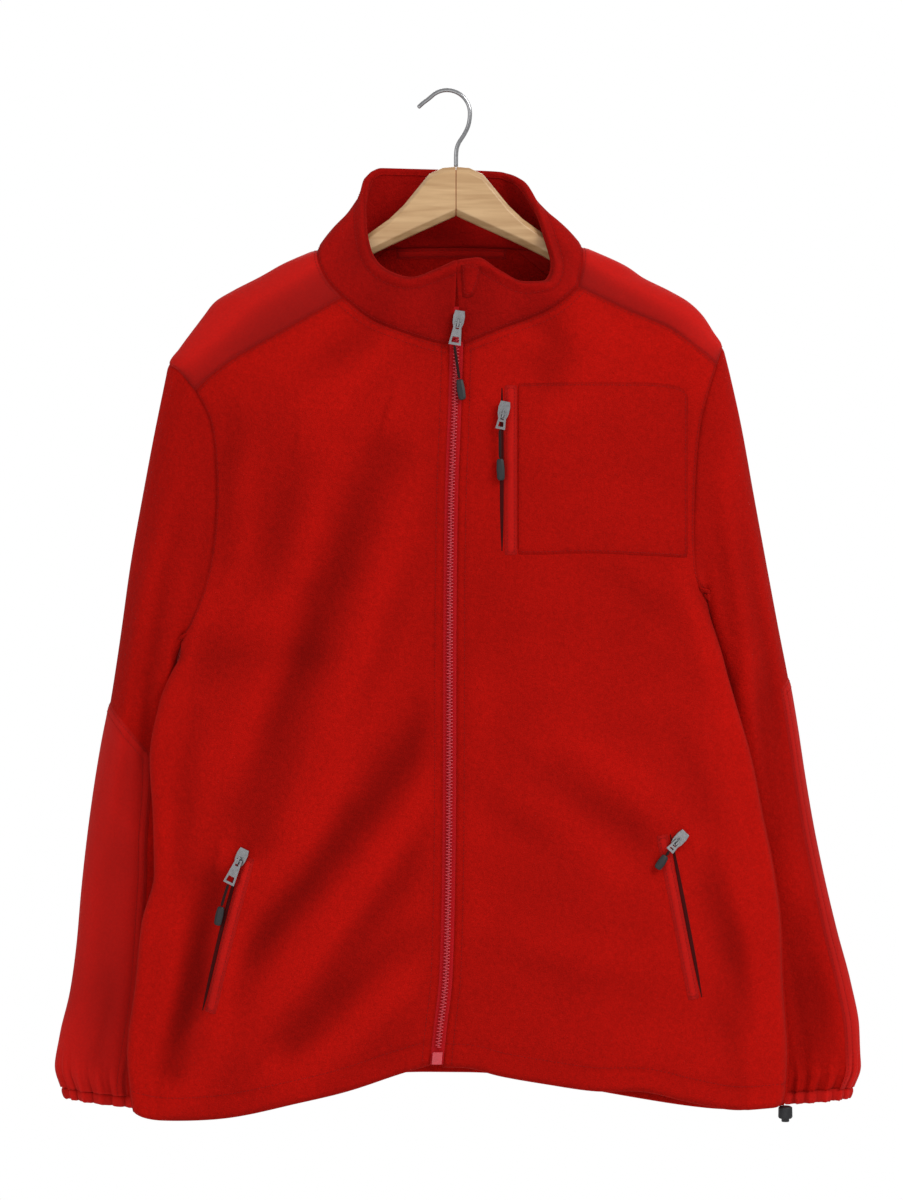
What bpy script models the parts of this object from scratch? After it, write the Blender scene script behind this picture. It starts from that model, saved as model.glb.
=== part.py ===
"""Fleece jacket with a stand collar, zipped shut and hanging on a wooden hanger.

Metres, +Z up, the front faces -Y. The origin is the inner top of the hanger's hook.
Right and left are the wearer's: the wearer's right is at -X. Sizes below are in millimetres.

The body is one flattened tube. A place on it is (turn, z): turn runs from 0 at the centre
front over 1 at the wearer's left side and 2 at the centre back to 3 at the wearer's right
side and 4 at the centre front again. Each panel is a grid of such places between its seams.
"""

import math

import bmesh
import bpy
from mathutils import Matrix, Vector
from mathutils.bvhtree import BVHTree
from mathutils.kdtree import KDTree

MM = 0.001

# ---- driving sizes ---------------------------------------------------------------------
FLEECE = 2.5            # wall of the fleece
WOVEN = 1.4             # wall of the woven yokes
PATCH = 1.1             # wall of what lies on a panel
COLLAR_WALL = 5.0       # two layers of fleece
SEAM_INSET = 0.25       # each piece ends this far from its seam line
ARMHOLE_INSET = 1.2     # a sleeve's at its armhole, where the cloth turns sharply
NECK_INSET = 0.8        # the collar's at its foot, where its thick wall stands up
SAME_POINT = 0.3        # grid points this close belong to one seam
LIFT = 0.9              # from a panel's face to what lies on it, where folds pass under
PATCH_LIFT = 0.45       # the same under a forearm patch, cut from the sleeve's own grid
ZIP_HALF = 6.0          # from the zip's centre line to a front's edge
TAPE_DROP = 0.8         # the zip tape lies this far behind the front's face
CHAIN_HALF = 3.0
CUFF_HEIGHT = 10.0
SIDE_EASE = 0.12        # how closely the grid columns crowd at a side edge

# ---- grid segments ---------------------------------------------------------------------
SEG_YOKE = 7            # along a yoke seam
SEG_NECK = 8            # along a front's neck seam
SEG_BACK_NECK = 6
SEG_YOKE_ARM = 3        # from the shoulder point down to a yoke corner
SEG_ARM = 9             # from a yoke corner down to the armpit
SEG_SIDE = 16           # side seam, armpit to hem
SEG_COLLAR = 5

# Outline of the body tube, seen from the front.
OUTLINE_COLUMNS = ("z", "right_x", "left_x")
OUTLINE = [
    (-130, -92, 98),
    (-142, -117, 128),
    (-156, -150, 159),
    (-170, -174, 180),
    (-180, -192, 199),
    (-191, -209, 217),
    (-203, -218, 229),
    (-217, -228, 238),
    (-232, -239, 247),
    (-247, -249, 249),
    (-272, -243, 247),
    (-300, -233, 243),
    (-335, -227, 240),
    (-385, -227, 238),
    (-435, -230, 233),
    (-452, -232, 233.5),
    (-466, -234, 235),
    (-493, -238, 243),
    (-506, -239, 247),
    (-522, -247, 251),
    (-547, -257, 258),
    (-600, -266, 273),
    (-650, -263, 283),
    (-700, -262, 293),
    (-745, -273, 299),
    (-800, -279, 301),
    (-860, -286, 305),
    (-890, -284, 304),
    (-930, -278, 295),
]

# Depth of the body tube. edge_y: where its two side edges lie. roll_x and roll_y: the round
# over at an edge. flat: how far the back lies flat against the front inside an edge.
DEPTH_COLUMNS = ("z", "front", "back", "edge_y", "roll_x", "roll_y", "flat", "spread_f", "spread_b")
DEPTH = [
    (-130, 20, 36, -3, 30, 13, 0, 90, 50),
    (-160, 30, 39, -9, 38, 15, 0, 110, 60),
    (-190, 40, 42, -16, 40, 17, 0, 120, 80),
    (-230, 50, 44, -21, 32, 18, 0, 130, 110),
    (-300, 58, 46, -22, 20, 16, 0, 150, 130),
    (-440, 62, 45, -22, 18, 16, 4, 170, 150),
    (-500, 64, 43, -22, 12, 12, 14, 170, 160),
    (-560, 66, 42, -27, 9, 9, 18, 170, 160),
    (-700, 69, 40, -30, 9, 9, 18, 170, 160),
    (-930, 64, 38, -30, 9, 9, 18, 170, 160),
]

# Centre line of the zip, which leans as the jacket hangs.
CENTRE_COLUMNS = ("z", "x")
CENTRE = [
    (-130, 8.5),
    (-230, 8.3),
    (-277, 7.2),
    (-367, 4.0),
    (-457, 2.7),
    (-637, 2.2),
    (-727, 1.0),
    (-790, -1.0),
    (-835, -6.0),
    (-866, -9.0),
    (-930, -12.0),
]

# Seams as (x, z) seen from the front. The armhole ones run from the shoulder point down.
ARMHOLE_RIGHT_FRONT = [(-249, -247), (-237, -256), (-224, -272)]
ARMHOLE_RIGHT_FRONT_LOW = [
    (-224, -272), (-211, -298), (-206, -335), (-206, -385), (-213, -435), (-226, -472), (-238, -493)]
ARMHOLE_RIGHT_BACK = [(-249, -247), (-237, -264), (-224, -286)]
ARMHOLE_RIGHT_BACK_LOW = [
    (-224, -286), (-210, -330), (-205, -380), (-213, -440), (-227, -476), (-238, -493)]
ARMHOLE_LEFT_FRONT = [(247, -232), (244, -239), (241, -248)]
ARMHOLE_LEFT_FRONT_LOW = [
    (241, -248), (233, -272), (226, -300), (222, -335), (220, -385), (221, -420), (225, -440),
    (233, -452)]
ARMHOLE_LEFT_BACK = [(247, -232), (240, -250), (229, -280)]
ARMHOLE_LEFT_BACK_LOW = [
    (229, -280), (218, -325), (215, -375), (220, -425), (233, -452)]
YOKE_RIGHT_FRONT = [(-224, -272), (-205, -255), (-185, -241), (-140, -215), (-93, -188)]
YOKE_RIGHT_BACK = [(-224, -286), (-180, -243), (-130, -200), (-85, -163), (-52, -136)]
YOKE_LEFT_FRONT = [(241, -248), (216, -229), (196, -215), (159, -199), (117, -178)]
YOKE_LEFT_BACK = [(229, -280), (188, -240), (138, -198), (92, -162), (60, -136)]
NECK_RIGHT_SIDE = [(-117, -142), (-115, -156), (-106, -174), (-93, -188)]
NECK_RIGHT_FRONT = [(-93, -188), (-69, -207), (-42, -219), (-15, -228), (2.5, -231)]
NECK_LEFT_SIDE = [(122, -139.5), (122, -152), (120, -165), (117, -178)]
NECK_LEFT_FRONT = [(117, -178), (102, -192), (84, -203), (48, -217), (14.5, -231)]
NECK_BACK_RIGHT = [(-117, -142), (-90, -139.5), (-52, -136)]
NECK_BACK_LEFT = [(122, -139.5), (98, -139), (60, -136)]
NECK_BACK = [(60, -136), (30, -135), (0, -135), (-30, -135), (-52, -136)]
HEM_RIGHT = [
    (-281, -913), (-254, -918), (-195, -914), (-132, -900), (-87, -889), (-42, -874), (-15, -866)]
HEM_LEFT = [
    (-3, -868), (21, -869), (48, -876), (88, -883), (130, -889), (174, -890), (215, -900),
    (255, -908), (298, -907)]
HEM_BACK = [
    (298, -907), (240, -912), (150, -905), (60, -889), (0, -886), (-60, -888), (-150, -902),
    (-230, -914), (-281, -913)]

# Folds that hang in the body: a trough along a path of three places, its half width and
# depth, and how high the cloth beside it stands up, on the side of the path's left hand.
FOLD_COLUMNS = ("x0", "z0", "x1", "z1", "x2", "z2", "width", "depth", "ridge")
FRONT_FOLDS = [
    (-66, -330, -112, -467, -170, -665, 26, 9.0, 4.5),
    (-13, -558, -85, -670, -196, -800, 24, 8.0, 4.0),
    (-16, -652, -72, -750, -138, -834, 20, 6.0, 3.0),
    (-6, -730, -60, -780, -138, -850, 17, 4.5, 2.0),
    (-138, -340, -148, -395, -165, -440, 20, 4.0, 2.0),
    (-208, -709, -222, -790, -246, -870, 17, 9.0, 5.0),
    (100, -610, 156, -655, 184, -680, 20, 3.5, 1.5),
    (228, -700, 252, -745, 268, -830, 18, 5.0, 2.5),
    (-55, -200, -80, -225, -110, -255, 20, 4.0, 1.5),
    (78, -205, 100, -222, 92, -255, 20, 4.0, 1.5),
]
BACK_FOLDS = [
    (-110, -330, -140, -520, -175, -760, 30, 8.0, 4.0),
    (-40, -420, -70, -620, -120, -860, 28, 7.0, 3.5),
    (60, -360, 75, -560, 100, -840, 28, 8.0, 4.0),
    (150, -400, 172, -600, 205, -820, 26, 7.0, 3.0),
    (-170, -250, -60, -215, 70, -218, 22, 5.0, 2.0),
]

# Sleeve sections between the outer and the inner edge of each, then where the section lies
# in depth and half its thickness.
SLEEVE_COLUMNS = ("outer_x", "outer_z", "inner_x", "inner_z", "y", "half")
SLEEVE_RIGHT = [
    (-258, -290, -253, -501, -17, 23),
    (-268, -335, -261, -515, -10, 29),
    (-277, -380, -266, -533, -2, 34),
    (-286, -428, -267, -558, 6, 37),
    (-294, -482, -262, -589, 15, 39),
    (-305, -550, -252, -624, 21, 38),
    (-313, -590, -243, -656, 24, 36),
    (-320, -632, -239, -692, 26, 34),
    (-326, -676, -237, -727, 27, 32),
    (-331, -722, -238, -762, 27, 30),
    (-335, -768, -240, -798, 27, 28),
    (-341, -812, -243, -835, 27, 26),
    (-350, -850, -247, -868, 27, 25),
    (-354, -878, -250, -892, 27, 24),
    (-348, -898, -253, -908, 27, 22),
]
SLEEVE_LEFT = [
    (262, -290, 249, -461, -17, 23),
    (272, -335, 257, -474, -10, 29),
    (280, -382, 262, -493, -2, 34),
    (289, -430, 266, -518, 6, 37),
    (299, -480, 268, -553, 15, 40),
    (309, -528, 262, -592, 21, 38),
    (317, -573, 257, -625, 24, 36),
    (324, -618, 260, -664, 26, 34),
    (332, -664, 263, -702, 27, 32),
    (342, -712, 266, -742, 27, 30),
    (353, -758, 269, -781, 27, 28),
    (365, -803, 273, -820, 27, 26),
    (373, -845, 277, -858, 27, 25),
    (374, -878, 281, -886, 27, 24),
    (367, -898, 284, -903, 27, 22),
]

# Long folds down a sleeve: the angle round it (0 outer edge, 90 front), first and last
# section, half width in degrees, and depth.
SLEEVE_FOLD_COLUMNS = ("angle", "first", "last", "width", "depth")
SLEEVE_RIGHT_FOLDS = [
    (38, 1, 6, 20, 7.0),
    (95, 1, 8, 22, 8.0),
    (250, 2, 10, 28, 9.0),
    (60, 8, 14, 24, 4.0),
]
SLEEVE_LEFT_FOLDS = [
    (62, 2, 9, 24, 9.0),
    (110, 1, 5, 22, 5.0),
    (250, 2, 10, 28, 9.0),
    (75, 10, 14, 24, 6.0),
]

# Rim of the collar at its column along the neck seam.
RIM_COLUMNS = ("column", "x", "y", "z")
RIM = [
    (0, 7.3, -52, -158),
    (2, -14, -52, -167),
    (4, -33, -50, -172),
    (6, -52, -43, -166),
    (8, -67, -31, -150),
    (9.5, -73, -14, -122),
    (11, -74, 4, -96),
    (12.5, -73, 20, -74),
    (14, -60, 33, -66),
    (17, 5, 39, -67),
    (20, 50, 35, -69),
    (21.5, 66, 22, -75),
    (23, 77, 2, -98),
    (24.5, 87, -18, -130),
    (26, 94, -35, -158),
    (27.5, 88, -46, -174),
    (29, 70, -52, -176),
    (31, 48, -55, -167),
    (32.5, 28, -54, -156),
    (34, 9.7, -52, -158),
]
COLLAR_BULGE = 4.0

# Forearm patch: first section, then how many columns it reaches to the front and the back.
FOREARM_PATCHES = {"right": (6, 7, 5), "left": (6, 3, 7)}

# What is sewn on: paths as (x, z) seen from the front, with a half width.
CHEST_SLIT = [(48.6, -270), (48.4, -345), (48.6, -414)]
CHEST_WELT = [(56.4, -268), (56.2, -345), (56.4, -417)]
CHEST_WELT_HALF = 5.4
CHEST_POCKET_COLUMNS = ("x", "top_z", "bottom_z")
CHEST_POCKET = [
    (63.5, -266, -417),
    (86, -265.5, -417),
    (110, -265, -416),
    (134, -265, -416),
    (158, -265, -417),
    (180, -265, -418),
    (200, -267, -419),
    (213.5, -272, -420),
]
POCKET_SLITS = {"right": [(-181.8, -684), (-200, -752), (-216, -820)],
                "left": [(197, -664), (211, -736), (225, -808)]}
POCKET_WELTS = {"right": [(-174.5, -685), (-192.5, -753), (-208.8, -821)],
                "left": [(189.7, -665), (203.7, -737), (217.7, -809)]}
POCKET_WELT_HALF = 5.0
SLIT_HALF = 1.8
NECK_TAPE = [(-46, -142.5), (4, -141.5), (54, -142.5)]
NECK_TAPE_HALF = 4.5
CHIN_GUARD = [[(12, -162), (21, -161), (31, -163)], [(13, -176), (21, -176), (28, -177)],
              [(13.5, -189), (18, -189), (23, -189)]]

# Zip pulls: each swings on a bar under its slider's bail. Places as (x, z).
PULL_COLUMNS = ("hinge", "tab_end", "grip_top", "grip_end", "tab_top_half", "tab_end_half")
PULLS = {
    "main": ((9.9, -212.4), (6.8, -232.5), (11.0, -263), (13.8, -281), 3.2, 5.6),
    "chest": ((49.5, -293.4), (46.8, -307), (46.8, -333), (47.7, -352), 3.0, 4.4),
    "pocket_right": ((-181.8, -687.6), (-190, -707), (-197, -728), (-200.5, -744.5), 3.2, 5.4),
    "pocket_left": ((202.5, -669.6), (195.3, -678), (192.2, -682.5), (184, -694), 3.0, 4.0),
}
HINGE_HEIGHT = 5.5      # from the zip's face to the bar
BAR_HALF = 0.8
TAB_THICK = 1.2
BAIL_HALF = 0.8
BAIL_REACH = 3.0        # from the bar to the bail's outer face
BAIL_WIRE = 1.2
BAIL_GAP = 2.2          # from the bar to each leg of the bail
EYE_LENGTH = 5.4        # from the bar to the end of the tab's eye
EYE_HALF = 1.5
SLIDER_FACE = 1.9       # from the bar down to the slider's face
SLIDER_THICK = 2.6
SLIDER_OUTLINE = [(11.0, 4.2), (6.0, 5.2), (0.0, 5.0), (-4.5, 3.6)]
CORD_RADIUS = 1.1
CORD_GAP = 0.9          # a cord's flat end is slanted to the tab and the grip
GRIP_HALF = 3.9
GRIP_THICK = 5.0
TOUCH = 0.35            # gap between pieces that touch

TAB_LEAN = 0.08         # share of its length by which a tab leans towards the cloth
GRIP_COLUMNS = ("part", "scale")
GRIP = [(0.0, 0.55), (0.08, 0.85), (0.5, 1.0), (0.9, 0.92), (1.0, 0.6)]
CHAIN_PROUD = 1.4
ZIP_BOX = (-855.0, -866.0)
ZIP_BOX_HALF = 4.4
ZIP_BOX_PROUD = 2.2

# Hanger: half outline of its arched middle, from the centre joint outwards.
HANGER_X = 8.1
ARCH_COLUMNS = ("offset", "top_z", "bottom_z")
ARCH = [
    (0.2, -67.5, -111.6),
    (12, -68.5, -117),
    (24, -74, -122.5),
    (34, -86, -127),
    (47, -102, -133),
    (60, -114.5, -139),
    (78, -127.5, -148),
    (100, -145, -161),
    (116, -151, -168.3),
]
# Hidden part of each arm: half its thickness, how far its top lies below the cloth's ridge,
# and how far ahead of the ridge it lies.
ARM_COLUMNS = ("offset", "half", "cover", "ahead")
ARM = [
    (132, 8.0, 4.4, 0.0),
    (146, 8.0, 4.4, 0.0),
    (160, 7.8, 4.5, 0.5),
    (174, 7.4, 4.7, 1.0),
    (188, 6.8, 5.2, 1.5),
    (200, 5.6, 5.8, 2.5),
    (208, 4.2, 6.8, 3.0),
]
ARM_SLOPE = 0.455       # fall of the arm's underside for each step outwards
ARM_HALF = 8.0
ARM_CORNER = 0.68       # share of its half thickness that is rounded off
ARM_SWEEP = 14.0        # the arched middle curves this far forward at ARM_SWEEP_AT
ARM_SWEEP_AT = 210.0
WIRE = 3.5
HOOK_RADIUS = 18.95     # inner radius of the hook
HOOK_TIP = [(-26, -14), (-21.5, -9.8)]
HOOK_NECK = [(19.4, -29.5), (15.3, -38.5), (10.7, -45.5), (8.4, -53), (8.1, -67.1)]
LOCK_CENTRE = (301.5, -30.0)
LOCK_TOP = -908.0
LOCK_COLUMNS = ("drop", "radius")
LOCK = [(0.0, 4.6), (1.2, 6.2), (9.5, 6.4), (11.0, 5.6), (11.2, 3.6), (14.0, 3.4)]

COLOURS = {
    "fleece": (0.38, 0.006, 0.004),
    "woven": (0.42, 0.010, 0.012),
    "tape": (0.40, 0.006, 0.020),
    "teeth": (0.62, 0.03, 0.07),
    "metal": (0.55, 0.55, 0.56),
    "black": (0.010, 0.010, 0.012),
    "cord": (0.020, 0.010, 0.010),
    "wood": (0.62, 0.39, 0.19),
    "chrome": (0.75, 0.75, 0.76),
}
ROUGHNESS = {
    "fleece": 0.95, "woven": 0.75, "tape": 0.8, "teeth": 0.4, "metal": 0.35, "black": 0.5,
    "cord": 0.9, "wood": 0.45, "chrome": 0.15,
}
METALLIC = {"metal": 1.0, "chrome": 1.0}


# ---- curves and tables -----------------------------------------------------------------
def smooth(value):
    value = min(max(value, 0.0), 1.0)
    return value * value * (3.0 - 2.0 * value)


def table_at(rows, key, column):
    """Read one column of a table at a key, along a smooth curve through its rows."""
    count = len(rows)
    falling = rows[0][0] > rows[-1][0]
    sign = -1.0 if falling else 1.0
    key = min(max(key * sign, rows[0][0] * sign), rows[-1][0] * sign)
    low = 0
    while low < count - 2 and rows[low + 1][0] * sign < key:
        low += 1
    k0 = rows[low][0] * sign
    k1 = rows[low + 1][0] * sign
    v0 = rows[low][column]
    v1 = rows[low + 1][column]
    step = k1 - k0
    slope = (v1 - v0) / step

    def tangent(index):
        if index == 0 or index == count - 1:
            return slope
        before = rows[index - 1]
        here = rows[index]
        after = rows[index + 1]
        s0 = (here[column] - before[column]) / ((here[0] - before[0]) * sign)
        s1 = (after[column] - here[column]) / ((after[0] - here[0]) * sign)
        if s0 * s1 <= 0.0:
            return 0.0
        return 2.0 * s0 * s1 / (s0 + s1)

    t = (key - k0) / step
    a = (2 * t ** 3 - 3 * t ** 2 + 1) * v0 + (t ** 3 - 2 * t ** 2 + t) * step * tangent(low)
    b = (3 * t ** 2 - 2 * t ** 3) * v1 + (t ** 3 - t ** 2) * step * tangent(low + 1)
    return a + b


def along(points, segments):
    """Even places along a smooth curve through points, as a list of segments + 1."""
    fine = []
    last = len(points) - 1
    steps = 12
    for index in range(last):
        p0 = Vector(points[max(index - 1, 0)])
        p1 = Vector(points[index])
        p2 = Vector(points[index + 1])
        p3 = Vector(points[min(index + 2, last)])
        for step in range(steps):
            t = step / steps
            fine.append(0.5 * (2 * p1 + (p2 - p0) * t + (2 * p0 - 5 * p1 + 4 * p2 - p3) * t * t
                               + (3 * p1 - p0 - 3 * p2 + p3) * t ** 3))
    fine.append(Vector(points[last]))
    travelled = [0.0]
    for index in range(1, len(fine)):
        travelled.append(travelled[-1] + (fine[index] - fine[index - 1]).length)
    result = []
    spot = 0
    for step in range(segments + 1):
        target = travelled[-1] * step / segments
        while spot < len(fine) - 2 and travelled[spot + 1] < target:
            spot += 1
        part = (target - travelled[spot]) / (travelled[spot + 1] - travelled[spot])
        result.append(fine[spot].lerp(fine[spot + 1], min(part, 1.0)))
    return result


# ---- body tube -------------------------------------------------------------------------
def centre_x(z):
    return table_at(CENTRE, z, 1)


def half_width(z, left):
    edge = table_at(OUTLINE, z, 2 if left else 1)
    return abs(edge - centre_x(z))


def eased(inward):
    """Share of the half width between a side edge and a grid column."""
    return inward * inward * (1.0 + SIDE_EASE) / (inward + SIDE_EASE)


def turn_of(x, z, front):
    """Turn of the place that is seen at (x, z) on the front or the back."""
    left = x > centre_x(z)
    share = 1.0 - min(abs(x - centre_x(z)) / half_width(z, left), 1.0)
    root = math.sqrt(share * share + 4.0 * (1.0 + SIDE_EASE) * share * SIDE_EASE)
    inward = (share + root) / (2.0 * (1.0 + SIDE_EASE))
    if left:
        return 1.0 - inward if front else 1.0 + inward
    return 3.0 + inward if front else 3.0 - inward


def fold_depth(x, z, folds):
    """How far the folds push the cloth in at (x, z)."""
    total = 0.0
    steps = 10
    for x0, z0, x1, z1, x2, z2, width, depth, ridge in folds:
        best = None
        for step in range(steps):
            ends = []
            for t in (step / steps, (step + 1) / steps):
                ends.append(Vector((
                    x0 * (1 - t) ** 2 + 2 * x1 * t * (1 - t) + x2 * t * t,
                    z0 * (1 - t) ** 2 + 2 * z1 * t * (1 - t) + z2 * t * t)))
            run = ends[1] - ends[0]
            away = Vector((x, z)) - ends[0]
            part = min(max(away.dot(run) / run.length_squared, 0.0), 1.0)
            offset = away - run * part
            if best is None or offset.length < best[0]:
                side = run.x * away.y - run.y * away.x
                best = (offset.length, (step + part) / steps, 1.0 if side > 0 else -1.0)
        distance, place, side = best
        taper = math.sin(math.pi * (0.12 + 0.76 * place)) ** 0.8
        across = distance / width * side
        trough = math.exp(-across * across)
        crest = math.exp(-(across - 1.6) ** 2)
        total += (depth * trough - ridge * crest) * taper
    return total


def body(turn, z):
    """Outer face of the body tube."""
    turn = turn % 4.0
    front = turn < 1.0 or turn > 3.0
    left = turn < 2.0
    if front:
        inward = 1.0 - turn if left else turn - 3.0
    else:
        inward = turn - 1.0 if left else 3.0 - turn
    width = half_width(z, left)
    inside = width * eased(inward)
    x = centre_x(z) + (width - inside) * (1.0 if left else -1.0)
    edge_y = table_at(DEPTH, z, 3)
    roll_x = table_at(DEPTH, z, 4)
    roll_y = table_at(DEPTH, z, 5)
    round_over = roll_y * math.sqrt(1.0 - (1.0 - min(inside / roll_x, 1.0)) ** 2)
    calm = smooth(inside / 45.0)
    if front:
        deep = table_at(DEPTH, z, 1) + edge_y - roll_y
        spread = table_at(DEPTH, z, 7)
        y = edge_y - round_over - deep * math.sin(0.5 * math.pi * min(inside / spread, 1.0))
        calm *= smooth((abs(x - centre_x(z)) - ZIP_HALF) / 28.0)
        y += calm * fold_depth(x, z, FRONT_FOLDS)
    else:
        deep = table_at(DEPTH, z, 2) - edge_y - roll_y
        spread = table_at(DEPTH, z, 8)
        y = edge_y + round_over + deep * smooth((inside - table_at(DEPTH, z, 6)) / spread)
        y -= calm * fold_depth(x, z, BACK_FOLDS)
    return Vector((x, y, z))


def seam(points, segments, front):
    """A seam as places on the body tube."""
    return [Vector((turn_of(x, z, front), z)) for x, z in along(points, segments)]


def side_seam(turn, top_z, bottom_z, segments):
    return [Vector((turn, top_z + (bottom_z - top_z) * step / segments))
            for step in range(segments + 1)]


def zip_edge(side, top_z, bottom_z, segments):
    """A front's edge along the zip, on the side of its sign."""
    places = []
    for step in range(segments + 1):
        z = top_z + (bottom_z - top_z) * step / segments
        places.append(Vector((turn_of(centre_x(z) + side * ZIP_HALF, z, True), z)))
    return places


def panel(top, bottom, first, last):
    """Grid of outer points between four edges: top and bottom run from first to last."""
    columns = len(top) - 1
    rows = len(first) - 1
    grid = []
    for row in range(rows + 1):
        down = row / rows
        line = []
        for column in range(columns + 1):
            side = column / columns
            place = (top[column] * (1 - down) + bottom[column] * down
                     + first[row] * (1 - side) + last[row] * side
                     - top[0] * (1 - side) * (1 - down) - top[-1] * side * (1 - down)
                     - bottom[0] * (1 - side) * down - bottom[-1] * side * down)
            line.append(body(place.x, place.y))
        grid.append(line)
    return grid


# ---- walls -----------------------------------------------------------------------------
def grid_normals(grid, closed):
    rows = len(grid)
    columns = len(grid[0])
    normals = []
    for row in range(rows):
        line = []
        for column in range(columns):
            up = grid[max(row - 1, 0)][column]
            down = grid[min(row + 1, rows - 1)][column]
            if closed:
                before = grid[row][column - 1]
                after = grid[row][(column + 1) % columns]
            else:
                before = grid[row][max(column - 1, 0)]
                after = grid[row][min(column + 1, columns - 1)]
            line.append((after - before).cross(up - down).normalized())
        normals.append(line)
    return normals


def share_normals(pieces):
    """Give pieces that meet along a seam one normal at each point of it."""
    edge = []
    for piece in pieces.values():
        grid = piece["grid"]
        for row, line in enumerate(grid):
            for column, point in enumerate(line):
                on_edge = row in (0, len(grid) - 1)
                if not piece["closed"]:
                    on_edge = on_edge or column in (0, len(line) - 1)
                if on_edge:
                    edge.append((piece["normals"], row, column, point))
    tree = KDTree(len(edge))
    for index, (_, _, _, point) in enumerate(edge):
        tree.insert(point, index)
    tree.balance()
    own = [normals[row][column].copy() for normals, row, column, _ in edge]
    for normals, row, column, point in edge:
        total = Vector((0.0, 0.0, 0.0))
        for _, index, _ in tree.find_range(point, SAME_POINT):
            total += own[index]
        normals[row][column] = total.normalized()


def inset_edges(piece):
    """Outer points with the edges drawn back from the seams."""
    grid = piece["grid"]
    normals = piece["normals"]
    rows = len(grid)
    columns = len(grid[0])
    moved = [[point.copy() for point in line] for line in grid]

    def draw_back(row, column, inner, along_edge):
        if row == 0 and piece["closed"] and rows > 3:
            inset = ARMHOLE_INSET
        elif row == rows - 1 and piece["thickness"] == COLLAR_WALL:
            inset = NECK_INSET
        else:
            inset = SEAM_INSET
        normal = normals[row][column]
        direction = inner - grid[row][column]
        tangent = along_edge.normalized()
        direction = direction - normal * direction.dot(normal)
        direction = direction - tangent * direction.dot(tangent)
        moved[row][column] += direction.normalized() * inset

    for column in range(columns):
        if piece["closed"]:
            before = column - 1
            after = (column + 1) % columns
        else:
            before = max(column - 1, 0)
            after = min(column + 1, columns - 1)
        draw_back(0, column, grid[1][column], grid[0][after] - grid[0][before])
        draw_back(rows - 1, column, grid[rows - 2][column],
                  grid[rows - 1][after] - grid[rows - 1][before])
    if not piece["closed"]:
        for row in range(rows):
            run = grid[min(row + 1, rows - 1)]
            back = grid[max(row - 1, 0)]
            draw_back(row, 0, grid[row][1], run[0] - back[0])
            draw_back(row, columns - 1, grid[row][columns - 2], run[-1] - back[-1])
    return moved


def wall(name, material, outer, normals, thickness, closed=False, holes=(), origin=None):
    """A closed wall: outer points, and inner ones behind them along the normals."""
    rows = len(outer)
    columns = len(outer[0])
    vertices = []
    for depth in (0.0, thickness):
        for row in range(rows):
            for column in range(columns):
                point = outer[row][column] - normals[row][column] * depth
                vertices.append(point * MM)
    layer = rows * columns
    cell_columns = columns if closed else columns - 1
    faces = []

    def solid(row, column):
        if closed:
            column = column % columns
        inside = 0 <= row < rows - 1 and 0 <= column < cell_columns
        return inside and (row, column) not in holes

    def rim(a, b):
        faces.append((b, a, a + layer))
        faces.append((b, a + layer, b + layer))

    for row in range(rows - 1):
        for column in range(cell_columns):
            if not solid(row, column):
                continue
            after = (column + 1) % columns
            a = row * columns + column
            b = row * columns + after
            c = (row + 1) * columns + after
            d = (row + 1) * columns + column
            faces.append((a, d, c))
            faces.append((a, c, b))
            faces.append((a + layer, c + layer, d + layer))
            faces.append((a + layer, b + layer, c + layer))
            if not solid(row - 1, column):
                rim(b, a)
            if not solid(row + 1, column):
                rim(d, c)
            if not closed or holes:
                if not solid(row, column - 1):
                    rim(a, d)
                if not solid(row, column + 1):
                    rim(c, b)
    used = sorted({index for face in faces for index in face})
    place = {index: number for number, index in enumerate(used)}
    return add_mesh(name, material, [vertices[index] for index in used],
                    [tuple(place[index] for index in face) for face in faces], origin)


# ---- objects ---------------------------------------------------------------------------
def add_material(name, kind):
    material = bpy.data.materials.new(name)
    material.use_nodes = True
    shader = material.node_tree.nodes["Principled BSDF"]
    shader.inputs["Base Color"].default_value = (*COLOURS[kind], 1.0)
    shader.inputs["Roughness"].default_value = ROUGHNESS[kind]
    shader.inputs["Metallic"].default_value = METALLIC.get(kind, 0.0)
    return material


def add_mesh(name, kind, vertices, faces, origin=None):
    place = Vector((0.0, 0.0, 0.0)) if origin is None else origin * MM
    mesh = bpy.data.meshes.new(name)
    mesh.from_pydata([vertex - place for vertex in vertices], [], faces)
    editing = bmesh.new()
    editing.from_mesh(mesh)
    bmesh.ops.recalc_face_normals(editing, faces=editing.faces)
    editing.to_mesh(mesh)
    editing.free()
    mesh.materials.append(add_material(name, kind))
    mesh.shade_smooth()
    mesh.set_sharp_from_angle(angle=math.radians(40))
    item = bpy.data.objects.new(name, mesh)
    item.location = place
    bpy.context.scene.collection.objects.link(item)
    return item


def clear_scene():
    for item in list(bpy.data.objects):
        bpy.data.objects.remove(item, do_unlink=True)


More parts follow.
